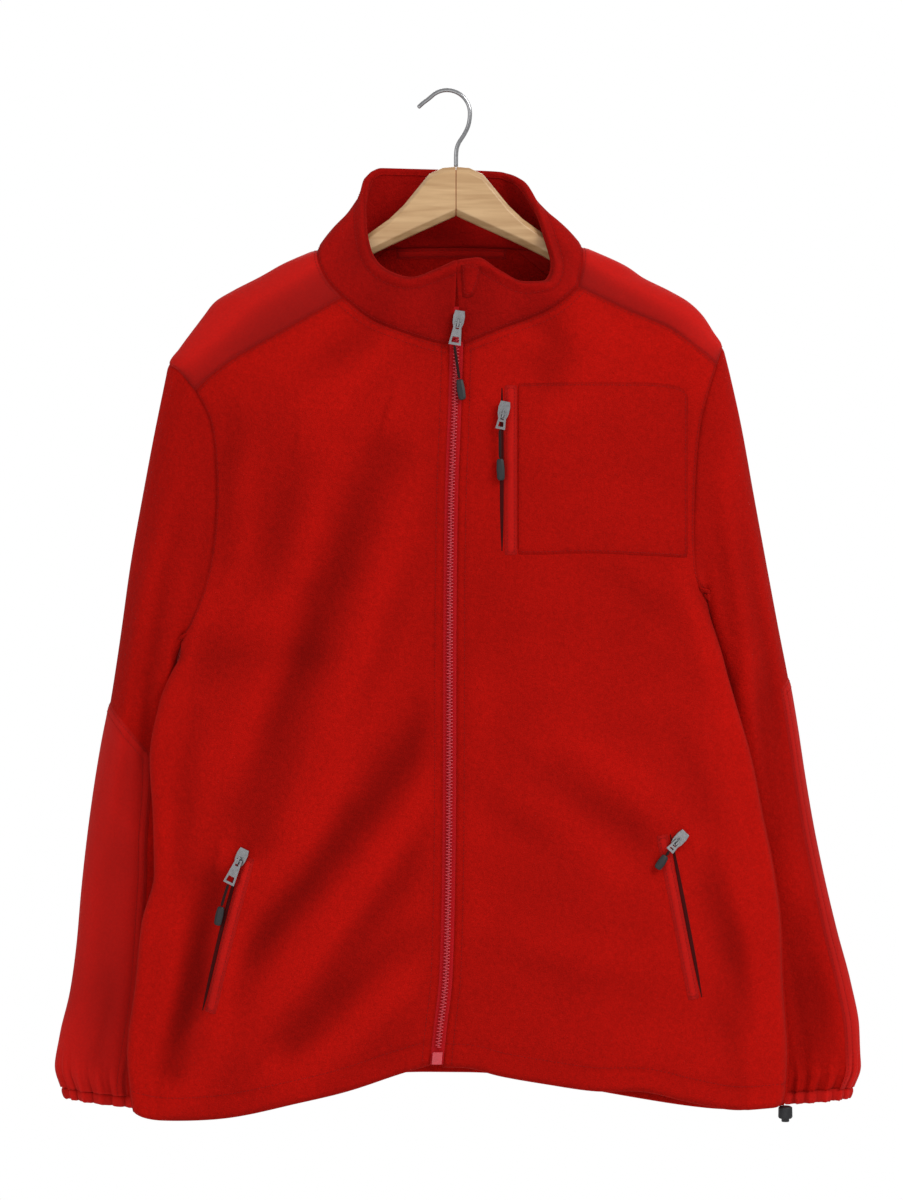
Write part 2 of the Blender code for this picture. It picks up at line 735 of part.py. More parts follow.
# ---- cloth -----------------------------------------------------------------------------
def panel_grids():
    """Outer grids of the panels that are cut from the body tube."""
    arm_rf = seam(ARMHOLE_RIGHT_FRONT_LOW, SEG_ARM, True)
    arm_rb = seam(ARMHOLE_RIGHT_BACK_LOW, SEG_ARM, False)
    arm_lf = seam(ARMHOLE_LEFT_FRONT_LOW, SEG_ARM, True)
    arm_lb = seam(ARMHOLE_LEFT_BACK_LOW, SEG_ARM, False)
    pit_right = ARMHOLE_RIGHT_FRONT_LOW[-1][1]
    pit_left = ARMHOLE_LEFT_FRONT_LOW[-1][1]
    side_r = side_seam(3.0, pit_right, HEM_RIGHT[0][1], SEG_SIDE)
    side_l = side_seam(1.0, pit_left, HEM_LEFT[-1][1], SEG_SIDE)
    long = SEG_ARM + SEG_SIDE
    wide = SEG_YOKE + SEG_NECK

    top = seam(YOKE_RIGHT_FRONT, SEG_YOKE, True) + seam(NECK_RIGHT_FRONT, SEG_NECK, True)[1:]
    zip_right = zip_edge(-1, NECK_RIGHT_FRONT[-1][1], HEM_RIGHT[-1][1], long)
    zip_right[0] = top[-1]
    hem = seam(HEM_RIGHT, wide, True)
    hem[0] = side_r[-1]
    hem[-1] = zip_right[-1]
    grids = {"front_right": panel(top, hem, arm_rf[:-1] + side_r, zip_right)}

    top = seam(NECK_LEFT_FRONT, SEG_NECK, True)[::-1] + seam(YOKE_LEFT_FRONT, SEG_YOKE, True)[::-1][1:]
    zip_left = zip_edge(1, NECK_LEFT_FRONT[-1][1], HEM_LEFT[0][1], long)
    zip_left[0] = top[0]
    hem = seam(HEM_LEFT, wide, True)
    hem[0] = zip_left[-1]
    hem[-1] = side_l[-1]
    grids["front_left"] = panel(top, hem, zip_left, arm_lf[:-1] + side_l)

    top = (seam(YOKE_LEFT_BACK, SEG_YOKE, False) + seam(NECK_BACK, SEG_BACK_NECK, False)[1:]
           + seam(YOKE_RIGHT_BACK, SEG_YOKE, False)[::-1][1:])
    hem = seam(HEM_BACK, 2 * SEG_YOKE + SEG_BACK_NECK, False)
    hem[0] = side_l[-1]
    hem[-1] = side_r[-1]
    grids["back"] = panel(top, hem, arm_lb[:-1] + side_l, arm_rb[:-1] + side_r)

    arm = seam(ARMHOLE_RIGHT_BACK, SEG_YOKE_ARM, False)
    arm = arm[::-1][:-1] + seam(ARMHOLE_RIGHT_FRONT, SEG_YOKE_ARM, True)
    neck = seam(NECK_BACK_RIGHT, SEG_YOKE_ARM, False)
    neck = neck[::-1][:-1] + seam(NECK_RIGHT_SIDE, SEG_YOKE_ARM, True)
    grids["yoke_right"] = panel(
        seam(YOKE_RIGHT_BACK, SEG_YOKE, False), seam(YOKE_RIGHT_FRONT, SEG_YOKE, True), arm, neck)

    arm = seam(ARMHOLE_LEFT_BACK, SEG_YOKE_ARM, False)
    arm = arm[::-1][:-1] + seam(ARMHOLE_LEFT_FRONT, SEG_YOKE_ARM, True)
    neck = seam(NECK_BACK_LEFT, SEG_YOKE_ARM, False)
    neck = neck[::-1][:-1] + seam(NECK_LEFT_SIDE, SEG_YOKE_ARM, True)
    grids["yoke_left"] = panel(
        seam(YOKE_LEFT_BACK, SEG_YOKE, False)[::-1], seam(YOKE_LEFT_FRONT, SEG_YOKE, True)[::-1],
        neck, arm)
    return grids


def collar_grid(grids):
    """Outer points of the collar, from its rim down to the neck seam."""
    front_right = grids["front_right"][0][SEG_YOKE:]
    yoke_right = [line[-1] for line in grids["yoke_right"]]
    back = grids["back"][0][SEG_YOKE:SEG_YOKE + SEG_BACK_NECK + 1]
    yoke_left = [line[0] for line in grids["yoke_left"]]
    front_left = grids["front_left"][0][:SEG_NECK + 1]
    base = (front_right[::-1] + yoke_right[::-1][1:] + back[::-1][1:] + yoke_left[1:]
            + front_left[::-1][1:])
    columns = len(base) - 1
    grid = []
    for row in range(SEG_COLLAR + 1):
        down = row / SEG_COLLAR
        line = []
        for column, foot in enumerate(base):
            key = RIM[-1][0] * column / columns
            rim = Vector([table_at(RIM, key, axis) for axis in (1, 2, 3)])
            outward = Vector((foot.x - centre_x(foot.z), foot.y, 0.0)).normalized()
            ends = smooth(min(column, columns - column) / 3.0)
            bulge = COLLAR_BULGE * math.sin(math.pi * down) * ends
            line.append(rim.lerp(foot, down) + outward * bulge)
        grid.append(line)
    return [line[::-1] for line in grid]


def armhole_loop(grids, left):
    """Points of an armhole from the shoulder point down its front and up its back."""
    last = -1 if left else 0
    front = [line[last] for line in grids["front_left" if left else "front_right"]][:SEG_ARM + 1]
    back = [line[0 if left else -1] for line in grids["back"]][:SEG_ARM + 1]
    yoke = [line[last] for line in grids["yoke_left" if left else "yoke_right"]]
    yoke_front = yoke[SEG_YOKE_ARM:]
    yoke_back = yoke[:SEG_YOKE_ARM + 1]
    return yoke_front + front[1:] + back[::-1][1:] + yoke_back[1:-1]


def sleeve_grid(loop, rows, folds):
    """Sleeve from its armhole to the cuff, each section matched to the armhole's points."""
    count = len(loop)
    grid = [loop]
    for index, (outer_x, outer_z, inner_x, inner_z, y, half) in enumerate(rows):
        section = index + 1
        blend = 1.0 - (1.0 - min(section / 5.0, 1.0)) ** 2
        middle = Vector(((outer_x + inner_x) / 2, y, (outer_z + inner_z) / 2))
        reach = Vector(((outer_x - inner_x) / 2, 0.0, (outer_z - inner_z) / 2))
        line = []
        for step in range(count):
            angle = 2.0 * math.pi * step / count
            dent = 0.0
            for turn, first, last, width, depth in folds:
                away = (math.degrees(angle) - turn + 180.0) % 360.0 - 180.0
                run = min(max((section - first) / (last - first), 0.0), 1.0)
                dent += depth * math.exp(-(away / width) ** 2) * math.sin(math.pi * run)
            y_half = half - dent * abs(math.sin(angle))
            oval = middle + reach * math.cos(angle) + Vector((0.0, -y_half * math.sin(angle), 0.0))
            start = loop[step]
            shifted = start + (oval - start) * blend
            line.append(shifted if blend < 1.0 else oval)
        grid.append(line)
    return grid


def build_cloth():
    """All sewn pieces with a wall of their own. Returns their grids and normals."""
    grids = panel_grids()
    grids["collar"] = collar_grid(grids)
    loop_right = armhole_loop(grids, False)
    loop_left = armhole_loop(grids, True)
    grids["sleeve_right"] = sleeve_grid(loop_right, SLEEVE_RIGHT, SLEEVE_RIGHT_FOLDS)
    grids["sleeve_left"] = sleeve_grid(loop_left, SLEEVE_LEFT, SLEEVE_LEFT_FOLDS)
    for side in ("right", "left"):
        end = grids["sleeve_" + side][-1]
        before = grids["sleeve_" + side][-2]
        middle = sum(end, Vector()) / len(end)
        cuff = [end]
        for step in (0.5, 1.0):
            line = []
            for point, above in zip(end, before):
                drop = Vector((0.0, 0.0, -CUFF_HEIGHT * step))
                line.append(point + drop + (middle - point) * 0.04 * step)
            cuff.append(line)
        grids["cuff_" + side] = cuff
    kinds = {
        "front_right": ("fleece", FLEECE), "front_left": ("fleece", FLEECE),
        "back": ("fleece", FLEECE), "yoke_right": ("woven", WOVEN), "yoke_left": ("woven", WOVEN),
        "collar": ("fleece", COLLAR_WALL), "sleeve_right": ("fleece", FLEECE),
        "sleeve_left": ("fleece", FLEECE), "cuff_right": ("woven", FLEECE),
        "cuff_left": ("woven", FLEECE),
    }
    pieces = {}
    for name, (kind, thickness) in kinds.items():
        grid = grids[name]
        closed = name.startswith(("sleeve", "cuff"))
        if name.endswith("_left") and closed:
            grid = [[line[-step % len(line)] for step in range(len(line))] for line in grid]
        pieces[name] = {
            "grid": grid, "closed": closed, "kind": kind, "thickness": thickness,
            "normals": grid_normals(grid, closed)}
    share_normals(pieces)
    for name, piece in pieces.items():
        piece["outer"] = inset_edges(piece)
        wall(name, piece["kind"], piece["outer"], piece["normals"], piece["thickness"],
             piece["closed"])
    return pieces


# ---- what lies on the cloth ------------------------------------------------------------
def face_of(name):
    """Search tree over a built piece, in millimetres."""
    mesh = bpy.data.objects[name].data
    mesh.calc_loop_triangles()
    vertices = [vertex.co / MM for vertex in mesh.vertices]
    return BVHTree.FromPolygons(vertices, [tuple(face.vertices) for face in mesh.loop_triangles])


def seen_at(face, x, z, start_y=-200.0):
    """The point that shows at (x, z) on a piece seen from start_y, and its normal."""
    point, normal, _, _ = face.ray_cast(Vector((x, start_y, z)), Vector((0.0, 1.0, 0.0)))
    return point, normal


def strip_places(path, half, segments, columns=2):
    """Rows of places across a path."""
    middle = along(path, segments)
    rows = []
    for index, place in enumerate(middle):
        ahead = middle[min(index + 1, segments)]
        behind = middle[max(index - 1, 0)]
        run = (ahead - behind).normalized()
        side = Vector((-run.y, run.x)) * half
        rows.append([place + side * (2.0 * column / (columns - 1) - 1.0)
                     for column in range(columns)])
    return rows


def laid(name, kind, face, places, thickness, start_y=-200.0):
    """A piece that lies on a panel, made from the panel's points moved out."""
    outer = []
    normals = []
    for row in places:
        points = []
        lines = []
        for place in row:
            point, normal = seen_at(face, place[0], place[1], start_y)
            points.append(point + normal * (LIFT + thickness))
            lines.append(normal)
        outer.append(points)
        normals.append(lines)
    facing = grid_normals(outer, False)[0][0].dot(normals[0][0])
    if facing < 0.0:
        outer = [row[::-1] for row in outer]
        normals = [row[::-1] for row in normals]
    wall(name, kind, outer, normals, thickness)


def forearm_patch(side, piece):
    """Woven patch over the outer side of a forearm."""
    first, to_front, to_back = FOREARM_PATCHES[side]
    sign = 1 if side == "right" else -1
    columns = range(-to_back * sign, to_front * sign + sign, sign)
    if side == "left":
        columns = list(columns)[::-1]
    columns = sorted(columns)
    count = len(piece["outer"][0])
    outer = []
    normals = []
    for row in range(first, len(piece["outer"])):
        line = []
        facing = []
        for column in columns:
            normal = piece["normals"][row][column % count]
            line.append(piece["outer"][row][column % count] + normal * (PATCH_LIFT + PATCH))
            facing.append(normal)
        outer.append(line)
        normals.append(facing)
    wall("sleeve_patch_" + side, "woven", outer, normals, PATCH)


def build_trim(pieces):
    for side in ("right", "left"):
        forearm_patch(side, pieces["sleeve_" + side])
    front_left = face_of("front_left")
    pocket = []
    rows = 7
    for row in range(rows + 1):
        pocket.append([(x, top + (low - top) * row / rows) for x, top, low in CHEST_POCKET])
    laid("chest_pocket", "fleece", front_left, pocket, PATCH)
    laid("chest_welt", "woven", front_left, strip_places(CHEST_WELT, CHEST_WELT_HALF, 10), PATCH)
    laid("chest_zip", "tape", front_left, strip_places(CHEST_SLIT, SLIT_HALF, 10), PATCH)
    for side in ("right", "left"):
        face = face_of("front_" + side)
        welt = strip_places(POCKET_WELTS[side], POCKET_WELT_HALF, 14, 3)
        laid("pocket_welt_" + side, "woven", face, welt, PATCH)
        slit = strip_places(POCKET_SLITS[side], SLIT_HALF, 10)
        laid("pocket_zip_" + side, "tape", face, slit, PATCH)
    laid("chin_guard", "fleece", face_of("collar"), CHIN_GUARD, PATCH)
    laid("neck_tape", "woven", face_of("back"), strip_places(NECK_TAPE, NECK_TAPE_HALF, 8),
         PATCH, 10.0)


# ---- front zip -------------------------------------------------------------------------
def zip_point(offset, z):
    """A point beside the zip's centre line, level with the fronts' faces."""
    foot_z = NECK_RIGHT_FRONT[-1][1]
    if z <= foot_z:
        x = centre_x(z) + offset
        return body(turn_of(x, z, True), z)
    rim = Vector(((RIM[0][1] + RIM[-1][1]) / 2, RIM[0][2], RIM[0][3]))
    foot = body(turn_of(centre_x(foot_z), foot_z, True), foot_z)
    point = foot.lerp(rim, (z - foot_z) / (rim.z - foot_z))
    return point + Vector((offset, 0.0, 0.0))


def zip_gap(z):
    """Half the gap between the two fronts, or the two ends of the collar."""
    foot_z = NECK_RIGHT_FRONT[-1][1]
    if z <= foot_z:
        return ZIP_HALF
    closing = (z - foot_z) / (RIM[0][3] - foot_z)
    return ZIP_HALF + (1.2 - ZIP_HALF) * closing


def build_zip():
    top_z = NECK_RIGHT_FRONT[-1][1]
    low_z = HEM_RIGHT[-1][1]
    long = SEG_ARM + SEG_SIDE
    levels = [-198.0, -215.0] + [top_z + (low_z - top_z) * row / long for row in range(long + 1)]
    for side, sign in (("right", -1), ("left", 1)):
        grid = []
        for z in levels:
            reach = min(zip_gap(z) - TOUCH, ZIP_HALF - TOUCH)
            pair = [zip_point(sign * reach, z), zip_point(sign * 0.15, z)]
            pair = pair if side == "right" else pair[::-1]
            grid.append([point + Vector((0.0, TAPE_DROP, 0.0)) for point in pair])
        wall("zip_tape_" + side, "tape", grid, grid_normals(grid, False), 1.0)
    box_top = ZIP_BOX[0]
    grid = []
    for z in [level for level in levels if level > box_top + 5.0] + [box_top + 1.0]:
        grid.append([zip_point(offset, z) + Vector((0.0, -CHAIN_PROUD, 0.0))
                     for offset in (-CHAIN_HALF, CHAIN_HALF)])
    wall("zip_chain", "teeth", grid, grid_normals(grid, False), CHAIN_PROUD + TAPE_DROP - TOUCH)
    grid = []
    for z in ZIP_BOX:
        grid.append([zip_point(offset, z) + Vector((0.0, -ZIP_BOX_PROUD, 0.0))
                     for offset in (-ZIP_BOX_HALF, ZIP_BOX_HALF)])
    wall("zip_box", "teeth", grid, grid_normals(grid, False), ZIP_BOX_PROUD + TAPE_DROP - TOUCH)


# ---- pulls -----------------------------------------------------------------------------
def loft(name, kind, rings, origin=None):
    """A solid through rings of points, with flat ends."""
    count = len(rings[0])
    vertices = [point * MM for ring in rings for point in ring]
    faces = []
    for row in range(len(rings) - 1):
        for column in range(count):
            after = (column + 1) % count
            a = row * count + column
            b = row * count + after
            faces.append((a, b, b + count, a + count))
    faces.append(tuple(range(count))[::-1])
    faces.append(tuple(len(vertices) - count + index for index in range(count)))
    return add_mesh(name, kind, vertices, faces, origin)


def tube_rings(points, radius, sides, across):
    """Rings along a path; across lies square to the path's plane."""
    rings = []
    for index, point in enumerate(points):
        run = points[min(index + 1, len(points) - 1)] - points[max(index - 1, 0)]
        side = across.cross(run).normalized()
        up = run.cross(side).normalized()
        ring = []
        for step in range(sides):
            angle = 2.0 * math.pi * step / sides
            ring.append(point + (side * math.cos(angle) + up * math.sin(angle)) * radius)
        rings.append(ring)
    return rings


def block(name, kind, frame, rows, columns, low, high, holes=(), origin=None):
    """A plate in a frame: rows of (z, half widths or sides), thick from low to high in y."""
    outer = []
    for z, sides in rows:
        outer.append([frame @ Vector((side, low, z)) for side in sides[:columns]])
    normal = frame.to_3x3() @ Vector((0.0, -1.0, 0.0))
    normals = [[normal] * columns for _ in rows]
    return wall(name, kind, outer, normals, high - low, False, holes, origin)


def pull_frame(hinge, tab_end, face, rise):
    """Frame at the bar: x along it, y into the cloth, z up along the tab."""
    foot, normal = seen_at(face, *hinge)
    bar = foot + normal * (HINGE_HEIGHT + rise)
    end, end_normal = seen_at(face, *tab_end)
    lean = TAB_LEAN * (end - foot).length
    end = end + end_normal * (HINGE_HEIGHT + rise - lean)
    up = (bar - end).normalized()
    inward = -normal
    inward = (inward - up * inward.dot(up)).normalized()
    across = inward.cross(up)
    frame = Matrix((across, inward, up)).transposed().to_4x4()
    frame.translation = bar
    return frame, (bar - end).length


def build_pull(name, face, rise):
    hinge, tab_end, grip_top, grip_end, top_half, end_half = PULLS[name]
    frame, length = pull_frame(hinge, tab_end, face, rise)
    bar = frame.translation.copy()

    rows = [(z, (-half, half)) for z, half in SLIDER_OUTLINE]
    slider = block(name + "_slider", "metal", frame, rows, 2, SLIDER_FACE,
                   SLIDER_FACE + SLIDER_THICK)
    turned = frame @ Matrix.Rotation(math.pi / 2, 4, "Z")
    leg = BAIL_GAP + BAIL_WIRE
    inner = SLIDER_FACE + 0.5
    sides = (-BAIL_REACH, -BAIL_REACH + BAIL_WIRE, inner)
    rows = [(leg, sides), (BAIL_GAP, sides), (-BAIL_GAP, sides), (-leg, sides)]
    bail = block(name + "_bail", "metal", turned, rows, 3, -BAIL_HALF, BAIL_HALF, {(1, 1)})
    bail.hide_render = True
    bail.display_type = "WIRE"
    union = slider.modifiers.new("bail", "BOOLEAN")
    union.operation = "UNION"
    union.object = bail

    def halves(part):
        return top_half + (end_half - top_half) * part

    window_top = min(-EYE_LENGTH - 2.0, -length + 7.2)
    stations = (BAR_HALF, -BAR_HALF, -EYE_LENGTH, window_top, -length + 2.2, -length)
    rows = []
    for index, z in enumerate(stations):
        half = halves(min(max(-z / length, 0.0), 1.0))
        window = EYE_HALF if index < 3 else half - 1.9
        rows.append((z, (-half, -window, window, half)))
    block(name + "_pull", "metal", frame, rows, 4, -TAB_THICK / 2, TAB_THICK / 2,
          {(1, 1), (3, 1)}, bar)

    top, top_normal = seen_at(face, *grip_top)
    end, end_normal = seen_at(face, *grip_end)
    top = top + top_normal * (GRIP_THICK / 2 + TOUCH + rise)
    end = end + end_normal * (GRIP_THICK / 2 + TOUCH + rise)
    start = frame @ Vector((0.0, 0.0, -length - CORD_GAP))
    stop = top + (start - top).normalized() * CORD_GAP
    normal = frame.to_3x3() @ Vector((0.0, -1.0, 0.0))
    count = 4
    points = []
    for step in range(count + 1):
        part = step / count
        sag = math.sin(math.pi * part) * 0.4
        points.append(start.lerp(stop, part) + normal * sag)
    loft(name + "_cord", "cord", tube_rings(points, CORD_RADIUS, 6, normal), bar)

    run = end - top
    side = run.cross(normal).normalized()
    out = side.cross(run).normalized()
    rings = []
    for part, scale in GRIP:
        ring = []
        for step in range(8):
            angle = 2.0 * math.pi * (step + 0.5) / 8
            wide = side * math.cos(angle) * GRIP_HALF * scale
            deep = out * math.sin(angle) * GRIP_THICK / 2 * scale
            ring.append(top + run * part + wide + deep)
        rings.append(ring)
    loft(name + "_grip", "black", rings, bar)


def build_pulls():
    front_right = face_of("front_right")
    front_left = face_of("front_left")
    build_pull("main", face_of_zip(), CHAIN_PROUD)
    build_pull("chest", front_left, LIFT + PATCH)
    build_pull("pocket_right", front_right, LIFT + PATCH)
    build_pull("pocket_left", front_left, LIFT + PATCH)


def face_of_zip():
    """Level face over the front zip, from the collar down past the pull."""
    vertices = []
    faces = []
    levels = [-150.0 - 10.0 * step for step in range(16)]
    for z in levels:
        for offset in (-30.0, 30.0):
            point = zip_point(0.0, z)
            vertices.append(Vector((point.x + offset, point.y, point.z)))
    for row in range(len(levels) - 1):
        a = 2 * row
        faces.append((a, a + 2, a + 3, a + 1))
    return BVHTree.FromPolygons(vertices, faces)


# ---- hanger ----------------------------------------------------------------------------
def ridge(face, x):
    """Highest point of a shoulder at x."""
    best = None
    for step in range(37):
        start = Vector((x, -24.0 + step, 0.0))
        point, _, _, _ = face.ray_cast(start, Vector((0.0, 0.0, -1.0)))
        if point and (best is None or point.z > best.z):
            best = point
    return best


def arm_section(x, y, top, bottom, half, sign):
    corner = ARM_CORNER * half
    middle = (top + bottom) / 2
    tall = (top - bottom) / 2
    outline = [(-half, tall - corner), (-half, -tall + corner), (-half + corner, -tall),
               (half - corner, -tall), (half, -tall + corner), (half, tall - corner),
               (half - corner, tall), (-half + corner, tall)]
    ring = [Vector((x, y + across, middle + up)) for across, up in outline]
    return ring if sign > 0 else ring[::-1]


def build_hanger():
    last_offset, _, last_bottom = ARCH[-1]
    for side, sign in (("right", -1), ("left", 1)):
        yoke = face_of("yoke_" + side)
        rings = []
        for offset, top, bottom in ARCH:
            y = -ARM_SWEEP * (offset / ARM_SWEEP_AT) ** 2
            rings.append(arm_section(HANGER_X + sign * offset, y, top, bottom, ARM_HALF, sign))
        for offset, half, cover, ahead in ARM:
            high = ridge(yoke, HANGER_X + sign * offset)
            bottom = last_bottom - (offset - last_offset) * ARM_SLOPE
            rings.append(arm_section(high.x, high.y - ahead, high.z - cover, bottom, half, sign))
        loft("hanger_arm_" + side, "wood", rings)

    centre = HOOK_RADIUS + WIRE / 2
    path = list(HOOK_TIP)
    for degrees in range(140, -21, -20):
        angle = math.radians(degrees)
        path.append((centre * math.cos(angle), centre * math.sin(angle) - HOOK_RADIUS))
    path = path[:-1] + HOOK_NECK
    places = [Vector((place.x, 0.0, place.y)) for place in along(path, 36)]
    rings = tube_rings(places, WIRE / 2, 8, Vector((0.0, 1.0, 0.0)))
    loft("hanger_hook", "chrome", rings)


def build_cord_lock():
    x, y = LOCK_CENTRE
    rings = []
    for drop, radius in LOCK:
        ring = []
        for step in range(12):
            angle = -2.0 * math.pi * step / 12
            ring.append(Vector((x + radius * math.cos(angle), y + radius * math.sin(angle),
                                LOCK_TOP - drop)))
        rings.append(ring)
    loft("cord_lock", "black", rings)


def main():
    clear_scene()
    pieces = build_cloth()
    build_trim(pieces)
    build_zip()
    build_pulls()
    build_hanger()
    build_cord_lock()


main()
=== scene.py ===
"""Looks of a red fleece jacket that hangs zipped shut on a wooden hanger.

Sizes in the tables are millimetres, as in the solids' source; meshes are made in metres.
"""

import math

import bmesh
import bpy
import numpy as np
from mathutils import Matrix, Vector
from mathutils.bvhtree import BVHTree
from mathutils.kdtree import KDTree


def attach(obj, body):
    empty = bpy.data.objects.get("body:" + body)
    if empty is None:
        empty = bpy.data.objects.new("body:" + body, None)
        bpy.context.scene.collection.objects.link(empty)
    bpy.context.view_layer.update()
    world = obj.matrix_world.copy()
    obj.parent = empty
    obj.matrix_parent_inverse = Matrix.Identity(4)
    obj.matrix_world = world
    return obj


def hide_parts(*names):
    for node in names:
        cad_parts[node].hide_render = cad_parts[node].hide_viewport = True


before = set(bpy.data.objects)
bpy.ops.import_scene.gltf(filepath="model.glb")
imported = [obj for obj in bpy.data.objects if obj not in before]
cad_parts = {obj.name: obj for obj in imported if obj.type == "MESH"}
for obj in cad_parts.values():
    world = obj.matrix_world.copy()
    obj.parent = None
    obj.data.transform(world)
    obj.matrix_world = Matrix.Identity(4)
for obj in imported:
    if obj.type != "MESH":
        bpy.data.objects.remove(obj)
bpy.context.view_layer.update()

MM = 0.001
JACKET = "jacket"


# ---- sizes -----------------------------------------------------------------------------
def table(columns, rows):
    """Columns of a table by name. The first of them is its key."""
    return dict(zip(columns, np.array(rows, float).T))


# Walls.
FLEECE = 2.5
WOVEN = 1.4
PATCH = 1.0
COLLAR_WALL = 5.0

ZIP_HALF = 6.0          # from the zip's centre line to the edge of a front
CUFF_HEIGHT = 10.0
SIDE_EASE = 0.12        # how close together the places round the body are at its sides

# Grid steps along each seam.
FINE = 6                # for each step of the solids
SEG_YOKE = 7 * FINE
SEG_NECK = 8 * FINE
SEG_BACK_NECK = 6 * FINE
SEG_YOKE_ARM = 3 * FINE
SEG_ARM = 9 * FINE
SEG_SIDE = 16 * FINE
SLEEVE_STEPS = 9        # from one section of a sleeve to the next

# How far inside a seam or an edge its stitch lines run, and the size of a stitch.
BY_SEAM = (2.0,)
BY_NECK = (2.0, 7.5)
BY_ZIP = (7.0,)
BY_HEM = (20.0,)
BY_PATCH = (2.0, 8.0)
BY_POCKET = (2.2,)
BY_TAPE = (1.6,)
BY_RIM = 10.0
STITCH_LENGTH = 2.5
STITCH_PITCH = 3.3
STITCH_RADIUS = 0.27
STITCH_SIDES = 4
STITCH_FORM = ((-1.0, 0.4), (-0.55, 1.0), (0.55, 1.0), (1.0, 0.4))  # place along it, and size
LEAST_STITCH_RUN = 0.1

# What a seam and a stitch line do to the cloth: width and depth of the groove, then width
# and strength of the shade painted into it.
SEAM_GROOVE = (1.8, 0.9, 1.4, 1.0)
STITCH_GROOVE = (1.7, 0.55, 1.0, 0.55)
DEEPEST_GROOVE = 1.3
PAINTED_SEAM_SHADE = 0.4        # the darkest painted shade in a seam
PAINTED_FOLD_SHADE = 4.6        # how far below the cloth round it a place has the full painted fold shade
HOLLOW_ROUNDS = 70      # of evening out, which give the cloth round a place

# Folds fade out towards the side edges and the zip over these distances.
FOLD_CALM = 45.0
ZIP_CALM = 28.0
CREASE_CALM = 12.0
ARMHOLE_BLEND = 5.0     # sections over which a sleeve leaves the form of its armhole

# Hard pieces.
JOIN_WITHIN = 0.02      # corners of a solid's faces that are one corner
ROUND_GAIN = 0.3        # what rounding takes off a thin wire or cord

# Outline of the body tube, seen from the front.
OUTLINE = table(("z", "right_x", "left_x"), [
    (-130, -92, 98),
    (-142, -117, 128),
    (-156, -150, 159),
    (-170, -174, 180),
    (-180, -192, 199),
    (-191, -209, 217),
    (-203, -218, 229),
    (-217, -228, 238),
    (-232, -239, 247),
    (-247, -249, 249),
    (-272, -243, 247),
    (-300, -233, 243),
    (-335, -227, 240),
    (-385, -227, 238),
    (-435, -230, 233),
    (-452, -232, 233.5),
    (-466, -234, 235),
    (-493, -238, 243),
    (-506, -239, 247),
    (-522, -247, 251),
    (-547, -257, 258),
    (-600, -266, 273),
    (-650, -263, 283),
    (-700, -262, 293),
    (-745, -273, 299),
    (-800, -279, 301),
    (-860, -286, 305),
    (-890, -284, 304),
    (-930, -278, 295),
])

# Depth of the body tube. edge_y: where its two side edges lie. roll_x and roll_y: the round
# over at an edge. flat: how far the back lies flat against the front inside an edge.
DEPTH = table(("z", "front", "back", "edge_y", "roll_x", "roll_y", "flat", "spread_f", "spread_b"), [
    (-130, 20, 36, -3, 30, 13, 0, 90, 50),
    (-160, 30, 39, -9, 38, 15, 0, 110, 60),
    (-190, 40, 42, -16, 40, 17, 0, 120, 80),
    (-230, 50, 44, -21, 32, 18, 0, 130, 110),
    (-300, 58, 46, -22, 20, 16, 0, 150, 130),
    (-440, 62, 45, -22, 18, 16, 4, 170, 150),
    (-500, 64, 43, -22, 12, 12, 14, 170, 160),
    (-560, 66, 42, -27, 9, 9, 18, 170, 160),
    (-700, 69, 40, -30, 9, 9, 18, 170, 160),
    (-930, 64, 38, -30, 9, 9, 18, 170, 160),
])

# Centre line of the zip, which leans as the jacket hangs.
CENTRE = table(("z", "x"), [
    (-130, 8.5),
    (-230, 8.3),
    (-277, 7.2),
    (-367, 4.0),
    (-457, 2.7),
    (-637, 2.2),
    (-727, 1.0),
    (-790, -1.0),
    (-835, -6.0),
    (-866, -9.0),
    (-930, -12.0),
])

# Seams as (x, z) seen from the front. Those of an armhole run down from the shoulder point,
# those of a yoke from the armhole to the neck, and a front's hem from the side to the zip.
ARMHOLE_FRONT = {"right": [(-249, -247), (-237, -256), (-224, -272)],
                 "left": [(247, -232), (244, -239), (241, -248)]}
ARMHOLE_FRONT_LOW = {
    "right": [(-224, -272), (-211, -298), (-206, -335), (-206, -385), (-213, -435), (-226, -472),
              (-238, -493)],
    "left": [(241, -248), (233, -272), (226, -300), (222, -335), (220, -385), (221, -420),
             (225, -440), (233, -452)]}
ARMHOLE_BACK = {"right": [(-249, -247), (-237, -264), (-224, -286)],
                "left": [(247, -232), (240, -250), (229, -280)]}
ARMHOLE_BACK_LOW = {
    "right": [(-224, -286), (-210, -330), (-205, -380), (-213, -440), (-227, -476), (-238, -493)],
    "left": [(229, -280), (218, -325), (215, -375), (220, -425), (233, -452)]}
YOKE_FRONT = {"right": [(-224, -272), (-205, -255), (-185, -241), (-140, -215), (-93, -188)],
              "left": [(241, -248), (216, -229), (196, -215), (159, -199), (117, -178)]}
YOKE_BACK = {"right": [(-224, -286), (-180, -243), (-130, -200), (-85, -163), (-52, -136)],
             "left": [(229, -280), (188, -240), (138, -198), (92, -162), (60, -136)]}
NECK_SIDE = {"right": [(-117, -142), (-115, -156), (-106, -174), (-93, -188)],
             "left": [(122, -139.5), (122, -152), (120, -165), (117, -178)]}
NECK_FRONT = {"right": [(-93, -188), (-69, -207), (-42, -219), (-15, -228), (2.5, -231)],
              "left": [(117, -178), (102, -192), (84, -203), (48, -217), (14.5, -231)]}
NECK_SHOULDER = {"right": [(-117, -142), (-90, -139.5), (-52, -136)],
                 "left": [(122, -139.5), (98, -139), (60, -136)]}
NECK_BACK = [(60, -136), (30, -135), (0, -135), (-30, -135), (-52, -136)]
